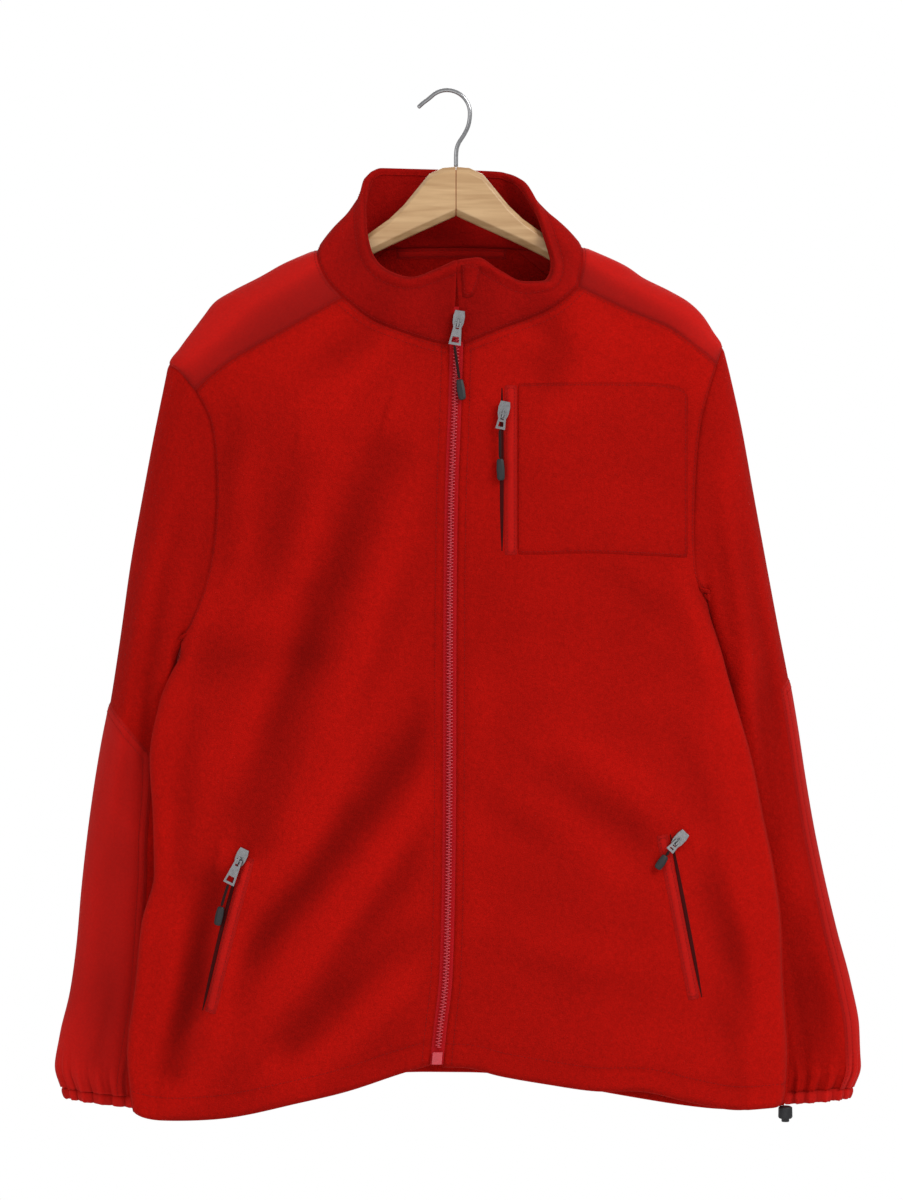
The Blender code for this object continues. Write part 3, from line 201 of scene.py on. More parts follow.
HEM_FRONT = {
    "right": [(-281, -913), (-254, -918), (-195, -914), (-132, -900), (-87, -889), (-42, -874),
              (-15, -866)],
    "left": [(298, -907), (255, -908), (215, -900), (174, -890), (130, -889), (88, -883),
             (48, -876), (21, -869), (-3, -868)]}
HEM_BACK = [
    (298, -907), (240, -912), (150, -905), (60, -889), (0, -886), (-60, -888), (-150, -902),
    (-230, -914), (-281, -913)]

# Folds that hang in the body: a trough along a path of three places (x, z), its half width
# and depth, and how high the cloth beside it stands up, on the side of the path's left hand.
FRONT_FOLDS = [
    (-66, -330, -112, -467, -170, -665, 26, 9.0, 4.5),
    (-13, -558, -85, -670, -196, -800, 24, 8.0, 4.0),
    (-16, -652, -72, -750, -138, -834, 20, 6.0, 3.0),
    (-6, -730, -60, -780, -138, -850, 17, 4.5, 2.0),
    (-138, -340, -148, -395, -165, -440, 20, 4.0, 2.0),
    (-208, -709, -222, -790, -246, -870, 17, 9.0, 5.0),
    (100, -610, 156, -655, 184, -680, 20, 3.5, 1.5),
    (228, -700, 252, -745, 268, -830, 18, 5.0, 2.5),
    (-55, -200, -80, -225, -110, -255, 20, 4.0, 1.5),
    (78, -205, 100, -222, 92, -255, 20, 4.0, 1.5),
]
BACK_FOLDS = [
    (-110, -330, -140, -520, -175, -760, 30, 8.0, 4.0),
    (-40, -420, -70, -620, -120, -860, 28, 7.0, 3.5),
    (60, -360, 75, -560, 100, -840, 28, 8.0, 4.0),
    (150, -400, 172, -600, 205, -820, 26, 7.0, 3.0),
    (-170, -250, -60, -215, 70, -218, 22, 5.0, 2.0),
]

# Sleeve sections between the outer and the inner edge of each, then where the section lies
# in depth and half its thickness.
SLEEVE_COLUMNS = ("outer_x", "outer_z", "inner_x", "inner_z", "y", "half")
SLEEVE_RIGHT = table(SLEEVE_COLUMNS, [
    (-258, -290, -240, -501, -17, 23),
    (-268, -335, -244, -515, -10, 29),
    (-277, -380, -246, -533, -2, 34),
    (-286, -428, -244, -558, 6, 37),
    (-294, -482, -246, -589, 15, 39),
    (-305, -550, -241, -624, 21, 38),
    (-313, -590, -238, -656, 24, 36),
    (-320, -632, -239, -692, 26, 34),
    (-326, -676, -237, -727, 27, 32),
    (-331, -722, -238, -762, 27, 30),
    (-335, -768, -240, -798, 27, 28),
    (-341, -812, -243, -835, 27, 26),
    (-350, -850, -247, -868, 27, 25),
    (-354, -878, -250, -892, 27, 24),
    (-348, -898, -253, -908, 27, 22),
])
SLEEVE_LEFT = table(SLEEVE_COLUMNS, [
    (262, -290, 238, -461, -17, 23),
    (272, -335, 238, -474, -10, 29),
    (280, -382, 238, -493, -2, 34),
    (289, -430, 241, -518, 6, 37),
    (299, -480, 247, -553, 15, 40),
    (309, -528, 246, -592, 21, 38),
    (317, -573, 248, -625, 24, 36),
    (324, -618, 253, -664, 26, 34),
    (332, -664, 259, -702, 27, 32),
    (342, -712, 266, -742, 27, 30),
    (353, -758, 269, -781, 27, 28),
    (365, -803, 273, -820, 27, 26),
    (373, -845, 277, -858, 27, 25),
    (374, -878, 281, -886, 27, 24),
    (367, -898, 284, -903, 27, 22),
])
SLEEVES = {"right": SLEEVE_RIGHT, "left": SLEEVE_LEFT}

# Folds down a sleeve, the long ones first and then the finer creases: the angle round it
# (0 outer edge, 90 front), first and last section, half width in degrees, and depth.
SLEEVE_RIGHT_FOLDS = [
    (38, 1, 6, 20, 7.0),
    (95, 1, 8, 22, 8.0),
    (250, 2, 10, 28, 9.0),
    (60, 8, 14, 24, 4.0),
    (15, 2, 7, 8, 1.6), (70, 3, 9, 9, 1.8), (120, 2, 6, 10, 1.8), (30, 9, 13, 9, 1.4),
    (75, 11, 15, 8, 1.6), (200, 3, 9, 12, 2.0), (300, 5, 12, 12, 1.8),
]
SLEEVE_LEFT_FOLDS = [
    (62, 2, 9, 24, 9.0),
    (110, 1, 5, 22, 5.0),
    (250, 2, 10, 28, 9.0),
    (75, 10, 14, 24, 6.0),
    (20, 1, 6, 9, 1.6), (45, 6, 12, 9, 1.6), (85, 4, 9, 9, 1.6), (30, 11, 15, 8, 1.8),
    (95, 10, 15, 9, 1.8), (210, 2, 8, 12, 2.0), (300, 6, 13, 12, 1.8),
]
SLEEVE_FOLDS = {"right": SLEEVE_RIGHT_FOLDS, "left": SLEEVE_LEFT_FOLDS}
GATHERS = 21            # round a cuff
GATHER_DEPTH = 1.5
GATHER_REACH = 22.0

# Rim of the collar at its column along the neck seam.
RIM = table(("column", "x", "y", "z"), [
    (0, 7.3, -52, -158),
    (2, -14, -52, -167),
    (4, -33, -50, -172),
    (6, -52, -43, -166),
    (8, -67, -31, -150),
    (9.5, -73, -14, -122),
    (11, -74, 4, -96),
    (12.5, -73, 20, -74),
    (14, -60, 33, -66),
    (17, 5, 39, -67),
    (20, 50, 35, -69),
    (21.5, 66, 22, -75),
    (23, 77, 2, -98),
    (24.5, 87, -18, -130),
    (26, 94, -35, -158),
    (27.5, 88, -46, -174),
    (29, 70, -52, -176),
    (31, 48, -55, -167),
    (32.5, 28, -54, -156),
    (34, 9.7, -52, -158),
])
COLLAR_BULGE = 4.0
# The rolled rim: how far below the edge it is fullest, its half width, and how much it adds
# to the outer face and to the wall.
ROLL_DOWN = 4.0
ROLL_WIDTH = 4.5
ROLL_OUT = 1.7
ROLL_WALL = 3.2

# Forearm patch: first section, then first and last column round from the outer edge.
FOREARM_PATCHES = {"right": (6, -5, 7), "left": (6, -3, 7)}
PATCH_GAP = 0.35

# What is sewn on: paths as (x, z) seen from the front, with a half width.
CHEST_SLIT = [(48.6, -270), (48.4, -345), (48.6, -414)]
CHEST_WELT = [(56.4, -268), (56.2, -345), (56.4, -417)]
CHEST_WELT_HALF = 5.4
# x, then z at the top and at the bottom.
CHEST_POCKET = [
    (63.5, -266, -417),
    (86, -265.5, -417),
    (110, -265, -416),
    (134, -265, -416),
    (158, -265, -417),
    (180, -265, -418),
    (200, -267, -419),
    (213.5, -272, -420),
]
POCKET_SLITS = {"right": [(-181.8, -684), (-200, -752), (-216, -820)],
                "left": [(197, -664), (211, -736), (225, -808)]}
POCKET_WELTS = {"right": [(-174.5, -685), (-192.5, -753), (-208.8, -821)],
                "left": [(189.7, -665), (203.7, -737), (217.7, -809)]}
POCKET_WELT_HALF = 5.0
SLIT_HALF = 1.44
NECK_TAPE = [(-46, -142.5), (4, -141.5), (54, -142.5)]
NECK_TAPE_HALF = 4.5
CHIN_GUARD = [[(12, -162), (21, -161), (31, -163)], [(13, -176), (21, -176), (28, -177)],
              [(13.5, -189), (18, -189), (23, -189)]]

# Y from which the search for a face starts: one on a front, and the back's inner one.
BEFORE_FRONT = -200.0
INSIDE_BODY = 10.0

# The front zip.
RIM_GAP = 1.2           # half the gap between the collar's ends at its rim
TAPE_CLEAR = 0.35
TAPE_TOP = -198.0
TAPE_DROP = 0.8         # below the faces of the fronts
TAPE_WALL = 0.9
CHAIN_TOP = -219.0
CHAIN_END = -853.5
TOOTH_PITCH = 1.5
# Rings of a tooth as (height, scale), with the height in depths of the tooth.
TOOTH = [(-0.5, 1.0), (-0.15, 1.0), (0.35, 0.92), (0.55, 0.62)]
TOOTH_SIDES = 8
TOOTH_SQUARE = 0.6      # below 1, a ring is squarer than an oval
TOOTH_HALF_WIDTH = 2.1
TOOTH_HALF_HEIGHT = 0.62
TOOTH_DEPTH = 1.5
TOOTH_ASIDE = 0.85      # from the centre line, to the left and right in turn
TOOTH_PROUD = 0.5       # of the zip's line

# Finer creases, in the same columns as the folds.
FRONT_CREASES = [
    (-30, -420, -60, -520, -110, -600, 12, 1.2, 0.5),
    (-120, -480, -150, -560, -185, -640, 13, 1.4, 0.7),
    (-190, -300, -205, -350, -200, -420, 12, 1.8, 0.9),
    (-20, -700, -45, -760, -95, -810, 10, 1.1, 0.6),
    (-60, -800, -100, -830, -150, -872, 11, 1.2, 0.7),
    (-90, -640, -130, -720, -176, -770, 12, 1.3, 0.6),
    (20, -620, 60, -655, 120, -690, 14, 1.0, 0.5),
    (30, -760, 90, -790, 170, -800, 15, 1.0, 0.5),
    (150, -440, 190, -470, 228, -480, 12, 1.6, 0.8),
    (60, -235, 75, -245, 95, -262, 10, 1.2, 0.7),
    (-35, -235, -70, -262, -95, -310, 12, 1.4, 0.6),
    (200, -560, 225, -620, 240, -700, 13, 1.3, 0.6),
    (-225, -560, -235, -630, -240, -700, 12, 1.6, 0.8),
    (235, -800, 250, -840, 262, -890, 11, 1.4, 0.8),
    (-262, -760, -268, -820, -272, -880, 11, 1.3, 0.7),
]
BACK_CREASES = [
    (-60, -300, -90, -420, -130, -520, 13, 1.4, 0.7),
    (20, -420, 30, -560, 24, -700, 14, 1.2, 0.6),
    (110, -300, 140, -380, 190, -440, 13, 1.6, 0.8),
    (-190, -420, -215, -520, -230, -620, 13, 1.5, 0.8),
    (-20, -640, -50, -760, -80, -860, 12, 1.2, 0.6),
    (140, -640, 170, -740, 215, -850, 13, 1.4, 0.7),
    (-90, -190, -20, -205, 60, -196, 12, 1.2, 0.6),
    (220, -620, 235, -720, 250, -820, 12, 1.3, 0.7),
]


# ---- curves and tables -----------------------------------------------------------------
def smooth(value):
    value = np.clip(value, 0.0, 1.0)
    return value * value * (3.0 - 2.0 * value)


def curve(rows, column, key):
    """A column of a table at many keys, along a smooth curve through its rows."""
    keys = next(iter(rows.values()))
    values = rows[column]
    key = np.asarray(key, float)
    if keys[0] > keys[-1]:
        keys = -keys
        key = -key
    key = np.clip(key, keys[0], keys[-1])
    slopes = np.diff(values) / np.diff(keys)
    low = np.clip(np.searchsorted(keys, key) - 1, 0, len(keys) - 2)
    step = keys[low + 1] - keys[low]
    product = slopes[:-1] * slopes[1:]
    total = np.where(product > 0.0, slopes[:-1] + slopes[1:], 1.0)
    middle = np.where(product > 0.0, 2.0 * product / total, 0.0)
    tangents = np.concatenate(([0.0], middle, [0.0]))
    before = np.where(low == 0, slopes[low], tangents[low])
    after = np.where(low == len(keys) - 2, slopes[low], tangents[low + 1])
    t = (key - keys[low]) / step
    a = (2 * t ** 3 - 3 * t ** 2 + 1) * values[low] + (t ** 3 - 2 * t ** 2 + t) * step * before
    b = (3 * t ** 2 - 2 * t ** 3) * values[low + 1] + (t ** 3 - t ** 2) * step * after
    return a + b


def along(points, segments):
    """Even places along a smooth curve through points, as an array of segments + 1 rows."""
    points = np.array(points, float)
    last = len(points) - 1
    fine = []
    steps = 12
    for index in range(last):
        p0 = points[max(index - 1, 0)]
        p1 = points[index]
        p2 = points[index + 1]
        p3 = points[min(index + 2, last)]
        for step in range(steps):
            t = step / steps
            fine.append(0.5 * (2 * p1 + (p2 - p0) * t + (2 * p0 - 5 * p1 + 4 * p2 - p3) * t * t
                               + (3 * p1 - p0 - 3 * p2 + p3) * t ** 3))
    fine.append(points[last])
    return evenly(np.array(fine), segments)


def evenly(line, segments):
    lengths = np.linalg.norm(np.diff(line, axis=0), axis=1)
    travelled = np.concatenate(([0.0], np.cumsum(lengths)))
    target = np.linspace(0.0, travelled[-1], segments + 1)
    return np.stack([np.interp(target, travelled, line[:, axis])
                     for axis in range(line.shape[1])], axis=1)


# ---- body tube -------------------------------------------------------------------------
def centre_x(z):
    return curve(CENTRE, "x", z)


def half_width(z, left):
    edge = np.where(left, curve(OUTLINE, "left_x", z), curve(OUTLINE, "right_x", z))
    return np.abs(edge - centre_x(z))


def turn_of(x, z, front):
    """Turn of the places that are seen at (x, z) on the front or the back."""
    left = x > centre_x(z)
    share = 1.0 - np.minimum(np.abs(x - centre_x(z)) / half_width(z, left), 1.0)
    root = np.sqrt(share * share + 4.0 * (1.0 + SIDE_EASE) * share * SIDE_EASE)
    inward = (share + root) / (2.0 * (1.0 + SIDE_EASE))
    if front:
        return np.where(left, 1.0 - inward, 3.0 + inward)
    return np.where(left, 1.0 + inward, 3.0 - inward)


def fold_depth(x, z, folds):
    """How far the folds push the cloth in at (x, z)."""
    total = np.zeros_like(x)
    steps = 14
    for x0, z0, x1, z1, x2, z2, width, depth, ridge in folds:
        t = np.linspace(0.0, 1.0, steps + 1)
        path_x = x0 * (1 - t) ** 2 + 2 * x1 * t * (1 - t) + x2 * t * t
        path_z = z0 * (1 - t) ** 2 + 2 * z1 * t * (1 - t) + z2 * t * t
        best = np.full(x.shape, 1e9)
        place = np.zeros_like(x)
        side = np.ones_like(x)
        for step in range(steps):
            run_x = path_x[step + 1] - path_x[step]
            run_z = path_z[step + 1] - path_z[step]
            away_x = x - path_x[step]
            away_z = z - path_z[step]
            part = np.clip((away_x * run_x + away_z * run_z) / (run_x ** 2 + run_z ** 2), 0, 1)
            distance = np.hypot(away_x - run_x * part, away_z - run_z * part)
            nearer = distance < best
            best = np.where(nearer, distance, best)
            place = np.where(nearer, (step + part) / steps, place)
            side = np.where(nearer, np.where(run_x * away_z - run_z * away_x > 0, 1.0, -1.0), side)
        taper = np.sin(np.pi * (0.12 + 0.76 * place)) ** 0.8
        across = best / width * side
        total += (depth * np.exp(-across ** 2) - ridge * np.exp(-(across - 1.6) ** 2)) * taper
    return total


def body(turn, z):
    """Outer face of the body tube."""
    turn = np.mod(turn, 4.0)
    z = np.asarray(z, float)
    front = (turn < 1.0) | (turn > 3.0)
    left = turn < 2.0
    inward = np.where(front, np.where(left, 1.0 - turn, turn - 3.0),
                      np.where(left, turn - 1.0, 3.0 - turn))
    width = half_width(z, left)
    inside = width * inward * inward * (1.0 + SIDE_EASE) / (inward + SIDE_EASE)
    x = centre_x(z) + (width - inside) * np.where(left, 1.0, -1.0)
    edge_y = curve(DEPTH, "edge_y", z)
    roll_x = curve(DEPTH, "roll_x", z)
    roll_y = curve(DEPTH, "roll_y", z)
    round_over = roll_y * np.sqrt(1.0 - (1.0 - np.minimum(inside / roll_x, 1.0)) ** 2)
    calm = smooth(inside / FOLD_CALM)
    crease_calm = smooth(inside / CREASE_CALM)
    deep = curve(DEPTH, "front", z) + edge_y - roll_y
    share = np.minimum(inside / curve(DEPTH, "spread_f", z), 1.0)
    y_front = edge_y - round_over - deep * np.sin(0.5 * np.pi * share)
    calm_front = calm * smooth((np.abs(x - centre_x(z)) - ZIP_HALF) / ZIP_CALM)
    y_front += calm_front * fold_depth(x, z, FRONT_FOLDS)
    y_front += crease_calm * fold_depth(x, z, FRONT_CREASES)
    deep = curve(DEPTH, "back", z) - edge_y - roll_y
    share = (inside - curve(DEPTH, "flat", z)) / curve(DEPTH, "spread_b", z)
    y_back = edge_y + round_over + deep * smooth(share)
    y_back -= calm * fold_depth(x, z, BACK_FOLDS)
    y_back -= crease_calm * fold_depth(x, z, BACK_CREASES)
    return np.stack([x, np.where(front, y_front, y_back), z], axis=-1)


def seam(points, segments, front):
    """A seam as places (turn, z) on the body tube."""
    line = along(points, segments)
    return np.stack([turn_of(line[:, 0], line[:, 1], front), line[:, 1]], axis=1)


def side_seam(turn, top_z, bottom_z, segments):
    z = np.linspace(top_z, bottom_z, segments + 1)
    return np.stack([np.full(segments + 1, turn), z], axis=1)


def zip_edge(side, top_z, bottom_z, segments):
    z = np.linspace(top_z, bottom_z, segments + 1)
    return np.stack([turn_of(centre_x(z) + side * ZIP_HALF, z, True), z], axis=1)


def panel(top, bottom, first, last):
    """Grid of outer points between four edges: top and bottom run from first to last."""
    down = np.linspace(0.0, 1.0, len(first))[:, None, None]
    side = np.linspace(0.0, 1.0, len(top))[None, :, None]
    place = (top[None] * (1 - down) + bottom[None] * down
             + first[:, None] * (1 - side) + last[:, None] * side
             - top[0] * (1 - side) * (1 - down) - top[-1] * side * (1 - down)
             - bottom[0] * (1 - side) * down - bottom[-1] * side * down)
    return body(place[..., 0], place[..., 1])


# ---- shells ----------------------------------------------------------------------------
def grid_normals(grid, closed):
    up = np.concatenate([grid[:1], grid[:-1]])
    down = np.concatenate([grid[1:], grid[-1:]])
    if closed:
        before = np.roll(grid, 1, axis=1)
        after = np.roll(grid, -1, axis=1)
    else:
        before = np.concatenate([grid[:, :1], grid[:, :-1]], axis=1)
        after = np.concatenate([grid[:, 1:], grid[:, -1:]], axis=1)
    normal = np.cross(after - before, up - down)
    return normal / np.maximum(np.linalg.norm(normal, axis=2, keepdims=True), 1e-9)


def make_mesh(name, vertices, faces, material, angle=None):
    mesh = bpy.data.meshes.new(name)
    mesh.from_pydata((np.asarray(vertices) * MM).tolist(), [], faces)
    mesh.update()
    mesh.shade_smooth()
    if angle is not None:
        mesh.set_sharp_from_angle(angle=math.radians(angle))
    mesh.materials.append(material)
    item = bpy.data.objects.new(name, mesh)
    bpy.context.scene.collection.objects.link(item)
    return item


def shell(name, grid, material, thickness, closed=False, rounds=1, normals=None):
    """A thin wall behind a grid of outer points, its open edges rounded."""
    rows, columns = grid.shape[:2]
    if normals is None:
        normals = grid_normals(grid, closed)
    thickness = np.broadcast_to(np.asarray(thickness, float), (rows, columns))[..., None]
    inner = grid - normals * thickness
    vertices = [grid.reshape(-1, 3), inner.reshape(-1, 3)]
    layer = rows * columns
    index = np.arange(layer).reshape(rows, columns)
    if closed:
        index = np.concatenate([index, index[:, :1]], axis=1)
    a = index[:-1, :-1].ravel()
    b = index[:-1, 1:].ravel()
    c = index[1:, 1:].ravel()
    d = index[1:, :-1].ravel()
    faces = np.stack([a, d, c, b], axis=1).tolist()
    faces += np.stack([a + layer, b + layer, c + layer, d + layer], axis=1).tolist()
    count = 2 * layer
    if closed:
        loops = [(index[0], grid[0] - grid[1]), (index[-1][::-1], (grid[-1] - grid[-2])[::-1])]
    else:
        border = np.concatenate([index[0], index[1:, -1], index[-1, ::-1][1:], index[::-1, 0][1:]])
        out = np.zeros_like(grid)
        out[0] += grid[0] - grid[1]
        out[-1] += grid[-1] - grid[-2]
        out[:, 0] += grid[:, 0] - grid[:, 1]
        out[:, -1] += grid[:, -1] - grid[:, -2]
        loops = [(border, out.reshape(-1, 3)[border])]
    for border, out in loops:
        ring = border[:-1]
        out = out[:len(ring)]
        normal = normals.reshape(-1, 3)[ring]
        out = out - normal * np.sum(out * normal, axis=1, keepdims=True)
        out = out / np.maximum(np.linalg.norm(out, axis=1, keepdims=True), 1e-9)
        deep = thickness.reshape(-1, 1)[ring]
        middle = grid.reshape(-1, 3)[ring] - normal * deep / 2
        before = ring
        for step in range(rounds + 1):
            if step < rounds:
                angle = math.pi * (step + 1) / (rounds + 1)
                vertices.append(middle + (normal * math.cos(angle) + out * math.sin(angle)) * deep / 2)
                after = np.arange(count, count + len(ring))
                count += len(ring)
            else:
                after = ring + layer
            faces += np.stack([before, np.roll(before, -1), np.roll(after, -1), after], axis=1).tolist()
            before = after
    item = make_mesh(name, np.concatenate(vertices), faces, material)
    outward(item)
    return item


def outward(item):
    editing = bmesh.new()
    editing.from_mesh(item.data)
    bmesh.ops.recalc_face_normals(editing, faces=editing.faces)
    editing.to_mesh(item.data)
    editing.free()


def face_of(item):
    """Search tree over a made piece, in millimetres."""
    mesh = item.data
    mesh.calc_loop_triangles()
    vertices = [vertex.co / MM for vertex in mesh.vertices]
    return BVHTree.FromPolygons(vertices, [tuple(face.vertices) for face in mesh.loop_triangles])


def edge_distance(points, line):
    """Distance of each point to a line of points."""
    length = np.linalg.norm(np.diff(line, axis=0), axis=1).sum()
    fine = evenly(line, max(int(length / 0.6), 2))
    tree = KDTree(len(fine))
    for index, point in enumerate(fine):
        tree.insert(point, index)
    tree.balance()
    return np.array([tree.find(point)[2] for point in points])


def add_shade(item, values):
    """Per-point painted shade of seams, stitch lines and folds, up to 1; below 0, a painted highlight
    on ridges.
    """
    layer = item.data.attributes.new("painted_shade", "FLOAT", "POINT")
    full = np.zeros(len(item.data.vertices), np.float32)
    full[:len(values)] = values
    layer.data.foreach_set("value", full)


def tube_faces(base, rings, sides):
    """Faces of a closed tube: rings of points one after the other, the first point at base."""
    faces = []
    for low in range(base, base + sides * (rings - 1), sides):
        for step in range(sides):
            after = (step + 1) % sides
            faces.append((low + step, low + after, low + sides + after, low + sides + step))
    faces.append(tuple(range(base + sides - 1, base - 1, -1)))
    faces.append(tuple(range(base + sides * (rings - 1), base + sides * rings)))
    return faces


# ---- materials -------------------------------------------------------------------------
def set_inputs(node, **inputs):
    """Set a node's inputs by name, written with _ for a space."""
    for key, value in inputs.items():
        node.inputs[key.replace("_", " ")].default_value = value


def new_material(name, colour, roughness, **inputs):
    material = bpy.data.materials.new(name)
    material.use_nodes = True
    shader = material.node_tree.nodes["Principled BSDF"]
    set_inputs(shader, Base_Color=(*colour, 1.0), Roughness=roughness, **inputs)
    return material, shader


def add_node(material, kind, **inputs):
    node = material.node_tree.nodes.new(kind)
    set_inputs(node, **inputs)
    return node


def link(material, start, end):
    material.node_tree.links.new(start, end)


def maths(material, operation, *values):
    """A math node on sockets and plain numbers."""
    node = add_node(material, "ShaderNodeMath")
    node.operation = operation
    for slot, value in zip(node.inputs, values):
        if isinstance(value, (int, float)):
            slot.default_value = value
        else:
            link(material, value, slot)
    return node.outputs["Value"]


def times(material, product, *factors):
    for factor in factors:
        product = maths(material, "MULTIPLY", product, factor)
    return product


def speckle(material, scale, low, high):
    """Noise in the object's own space, mapped to the range low to high."""
    place = add_node(material, "ShaderNodeTexCoord")
    noise = add_node(material, "ShaderNodeTexNoise", Scale=scale, Detail=3.0)
    link(material, place.outputs["Object"], noise.inputs["Vector"])
    spread = add_node(material, "ShaderNodeMapRange", From_Min=0.3, From_Max=0.7,
                      To_Min=low, To_Max=high)
    link(material, noise.outputs["Fac"], spread.inputs["Value"])
    return spread.outputs["Result"]


def bump(material, shader, height, distance, strength):
    """Relief of a height in metres."""
    node = add_node(material, "ShaderNodeBump", Distance=distance, Strength=strength)
    link(material, height, node.inputs["Height"])
    link(material, node.outputs["Normal"], shader.inputs["Normal"])


def tint(material, shader, colour, factor):
    """The base colour times a factor that varies over the surface."""
    node = add_node(material, "ShaderNodeVectorMath")
    node.operation = "SCALE"
    node.inputs[0].default_value = colour
    link(material, factor, node.inputs["Scale"])
    link(material, node.outputs["Vector"], shader.inputs["Base Color"])


def shade_paint_factor(material, dark):
    """Painted shade: 1 on open cloth, 1 - dark in seam grooves and folds, a little over 1 on ridges."""
    layer = add_node(material, "ShaderNodeAttribute")
    layer.attribute_name = "painted_shade"
    return maths(material, "MULTIPLY_ADD", layer.outputs["Fac"], -dark, 1.0)


def fleece_material(name, colour):
    material, shader = new_material(name, colour, 0.95, Specular_IOR_Level=0.06, Sheen_Weight=0.08,
                                    Sheen_Roughness=0.45, Sheen_Tint=(1.0, 0.25, 0.2, 1.0))
    pile = speckle(material, 900.0, 0.86, 1.14)
    tufts = speckle(material, 260.0, 0.92, 1.08)
    cloud = speckle(material, 16.0, 0.95, 1.05)
    # The colour is darkened by the painted shade of seams and folds, and lightened a little on ridges.
    tint(material, shader, colour, times(material, pile, tufts, cloud, shade_paint_factor(material, 0.5)))
    rough = speckle(material, 700.0, 0.0, 1.0)
    lumps = speckle(material, 210.0, 0.0, 1.6)
    bump(material, shader, maths(material, "ADD", rough, lumps), 0.00035, 0.8)
    return material


def weave_height(material, pitch):
    """Over and under threads of a plain weave, with its thread pitch in metres."""
    place = add_node(material, "ShaderNodeTexCoord")
    parts = add_node(material, "ShaderNodeSeparateXYZ")
    link(material, place.outputs["Object"], parts.inputs["Vector"])
    turns = [times(material, parts.outputs[axis], math.tau / pitch) for axis in ("X", "Z")]
    return times(material, *(maths(material, "SINE", turn) for turn in turns))


def woven_material(name, colour, pitch, roughness=0.72):
    material, shader = new_material(name, colour, roughness, Specular_IOR_Level=0.12,
                                    Sheen_Weight=0.08, Sheen_Roughness=0.4,
                                    Sheen_Tint=(1.0, 0.35, 0.3, 1.0))
    slub = speckle(material, 500.0, 0.93, 1.07)
    cloud = speckle(material, 14.0, 0.95, 1.05)
    # The colour is darkened by the painted shade of seams and folds, and lightened a little on ridges.
    tint(material, shader, colour, times(material, slub, cloud, shade_paint_factor(material, 0.45)))
    bump(material, shader, weave_height(material, pitch), pitch * 0.25, 0.7)
    return material


def moulded_material(name, colour, roughness, coat=0.0):
    material, shader = new_material(name, colour, roughness, Coat_Weight=coat, Coat_Roughness=0.2)
    tint(material, shader, colour, speckle(material, 300.0, 0.9, 1.1))
    bump(material, shader, speckle(material, 1200.0, 0.0, 1.0), 0.00006, 0.6)
    return material


def metal_material(name, colour, roughness):
    material, shader = new_material(name, colour, roughness, Metallic=1.0)
    tint(material, shader, colour, speckle(material, 400.0, 0.88, 1.08))
    link(material, speckle(material, 700.0, roughness * 0.8, roughness * 1.3),
         shader.inputs["Roughness"])
    bump(material, shader, speckle(material, 900.0, 0.0, 1.0), 0.00002, 0.3)
    return material


def wood_material(name):
    """Grain that runs along the X axis, from side to side of the hanger."""
    material, shader = new_material(name, WOOD_MIDDLE, 0.42, Coat_Weight=0.35, Coat_Roughness=0.25)
    place = add_node(material, "ShaderNodeTexCoord")
    stretch = add_node(material, "ShaderNodeMapping", Scale=(6.0, 60.0, 90.0))
    link(material, place.outputs["Object"], stretch.inputs["Vector"])
    grain = add_node(material, "ShaderNodeTexNoise", Scale=1.6, Detail=4.0, Distortion=0.6)
    link(material, stretch.outputs["Vector"], grain.inputs["Vector"])
    ramp = add_node(material, "ShaderNodeValToRGB")
    for stop, share, colour in zip(ramp.color_ramp.elements, (0.3, 0.65), (WOOD_DARK, WOOD_LIGHT)):
        stop.position = share
        stop.color = (*colour, 1.0)
    link(material, grain.outputs["Fac"], ramp.inputs["Fac"])
    link(material, ramp.outputs["Color"], shader.inputs["Base Color"])
    bump(material, shader, grain.outputs["Fac"], 0.0002, 0.5)
    return material


RED_FLEECE = (0.40, 0.0042, 0.0020)
RED_COLLAR = (0.32, 0.0035, 0.0022)
RED_WOVEN = (0.56, 0.0058, 0.0030)
RED_THREAD = (0.36, 0.0060, 0.0050)
WOOD_DARK = (0.50, 0.28, 0.12)
WOOD_MIDDLE = (0.66, 0.41, 0.20)
WOOD_LIGHT = (0.72, 0.46, 0.23)

fleece = fleece_material("fleece_pile", RED_FLEECE)
collar_fleece = fleece_material("collar_pile", RED_COLLAR)
woven = woven_material("woven_cloth", RED_WOVEN, 0.0007)
tape_cloth = woven_material("zip_tape_cloth", (0.50, 0.005, 0.009), 0.0008)
thread = woven_material("thread_twist", RED_THREAD, 0.0004)
teeth = moulded_material("zip_teeth_moulded", (0.58, 0.020, 0.036), 0.32, 0.4)
metal = metal_material("pull_metal", (0.30, 0.30, 0.31), 0.32)
# A near-black sheet that paints the shadow inside a pocket's slit.
shadow_sheet = woven_material("slit_shadow", (0.070, 0.0015, 0.0015), 0.0008)
black = moulded_material("grip_rubber", (0.012, 0.012, 0.014), 0.5)
cord_cloth = woven_material("cord_braid", (0.030, 0.012, 0.012), 0.0006, 0.85)
wood = wood_material("hanger_wood")
chrome = metal_material("hook_chrome", (0.42, 0.42, 0.43), 0.2)


# ---- panels ----------------------------------------------------------------------------
def over_shoulder(back, front):
    """A seam from the back over the shoulder to the front, made of its two halves."""
    return np.concatenate([seam(back, SEG_YOKE_ARM, False)[::-1][:-1],
                           seam(front, SEG_YOKE_ARM, True)])


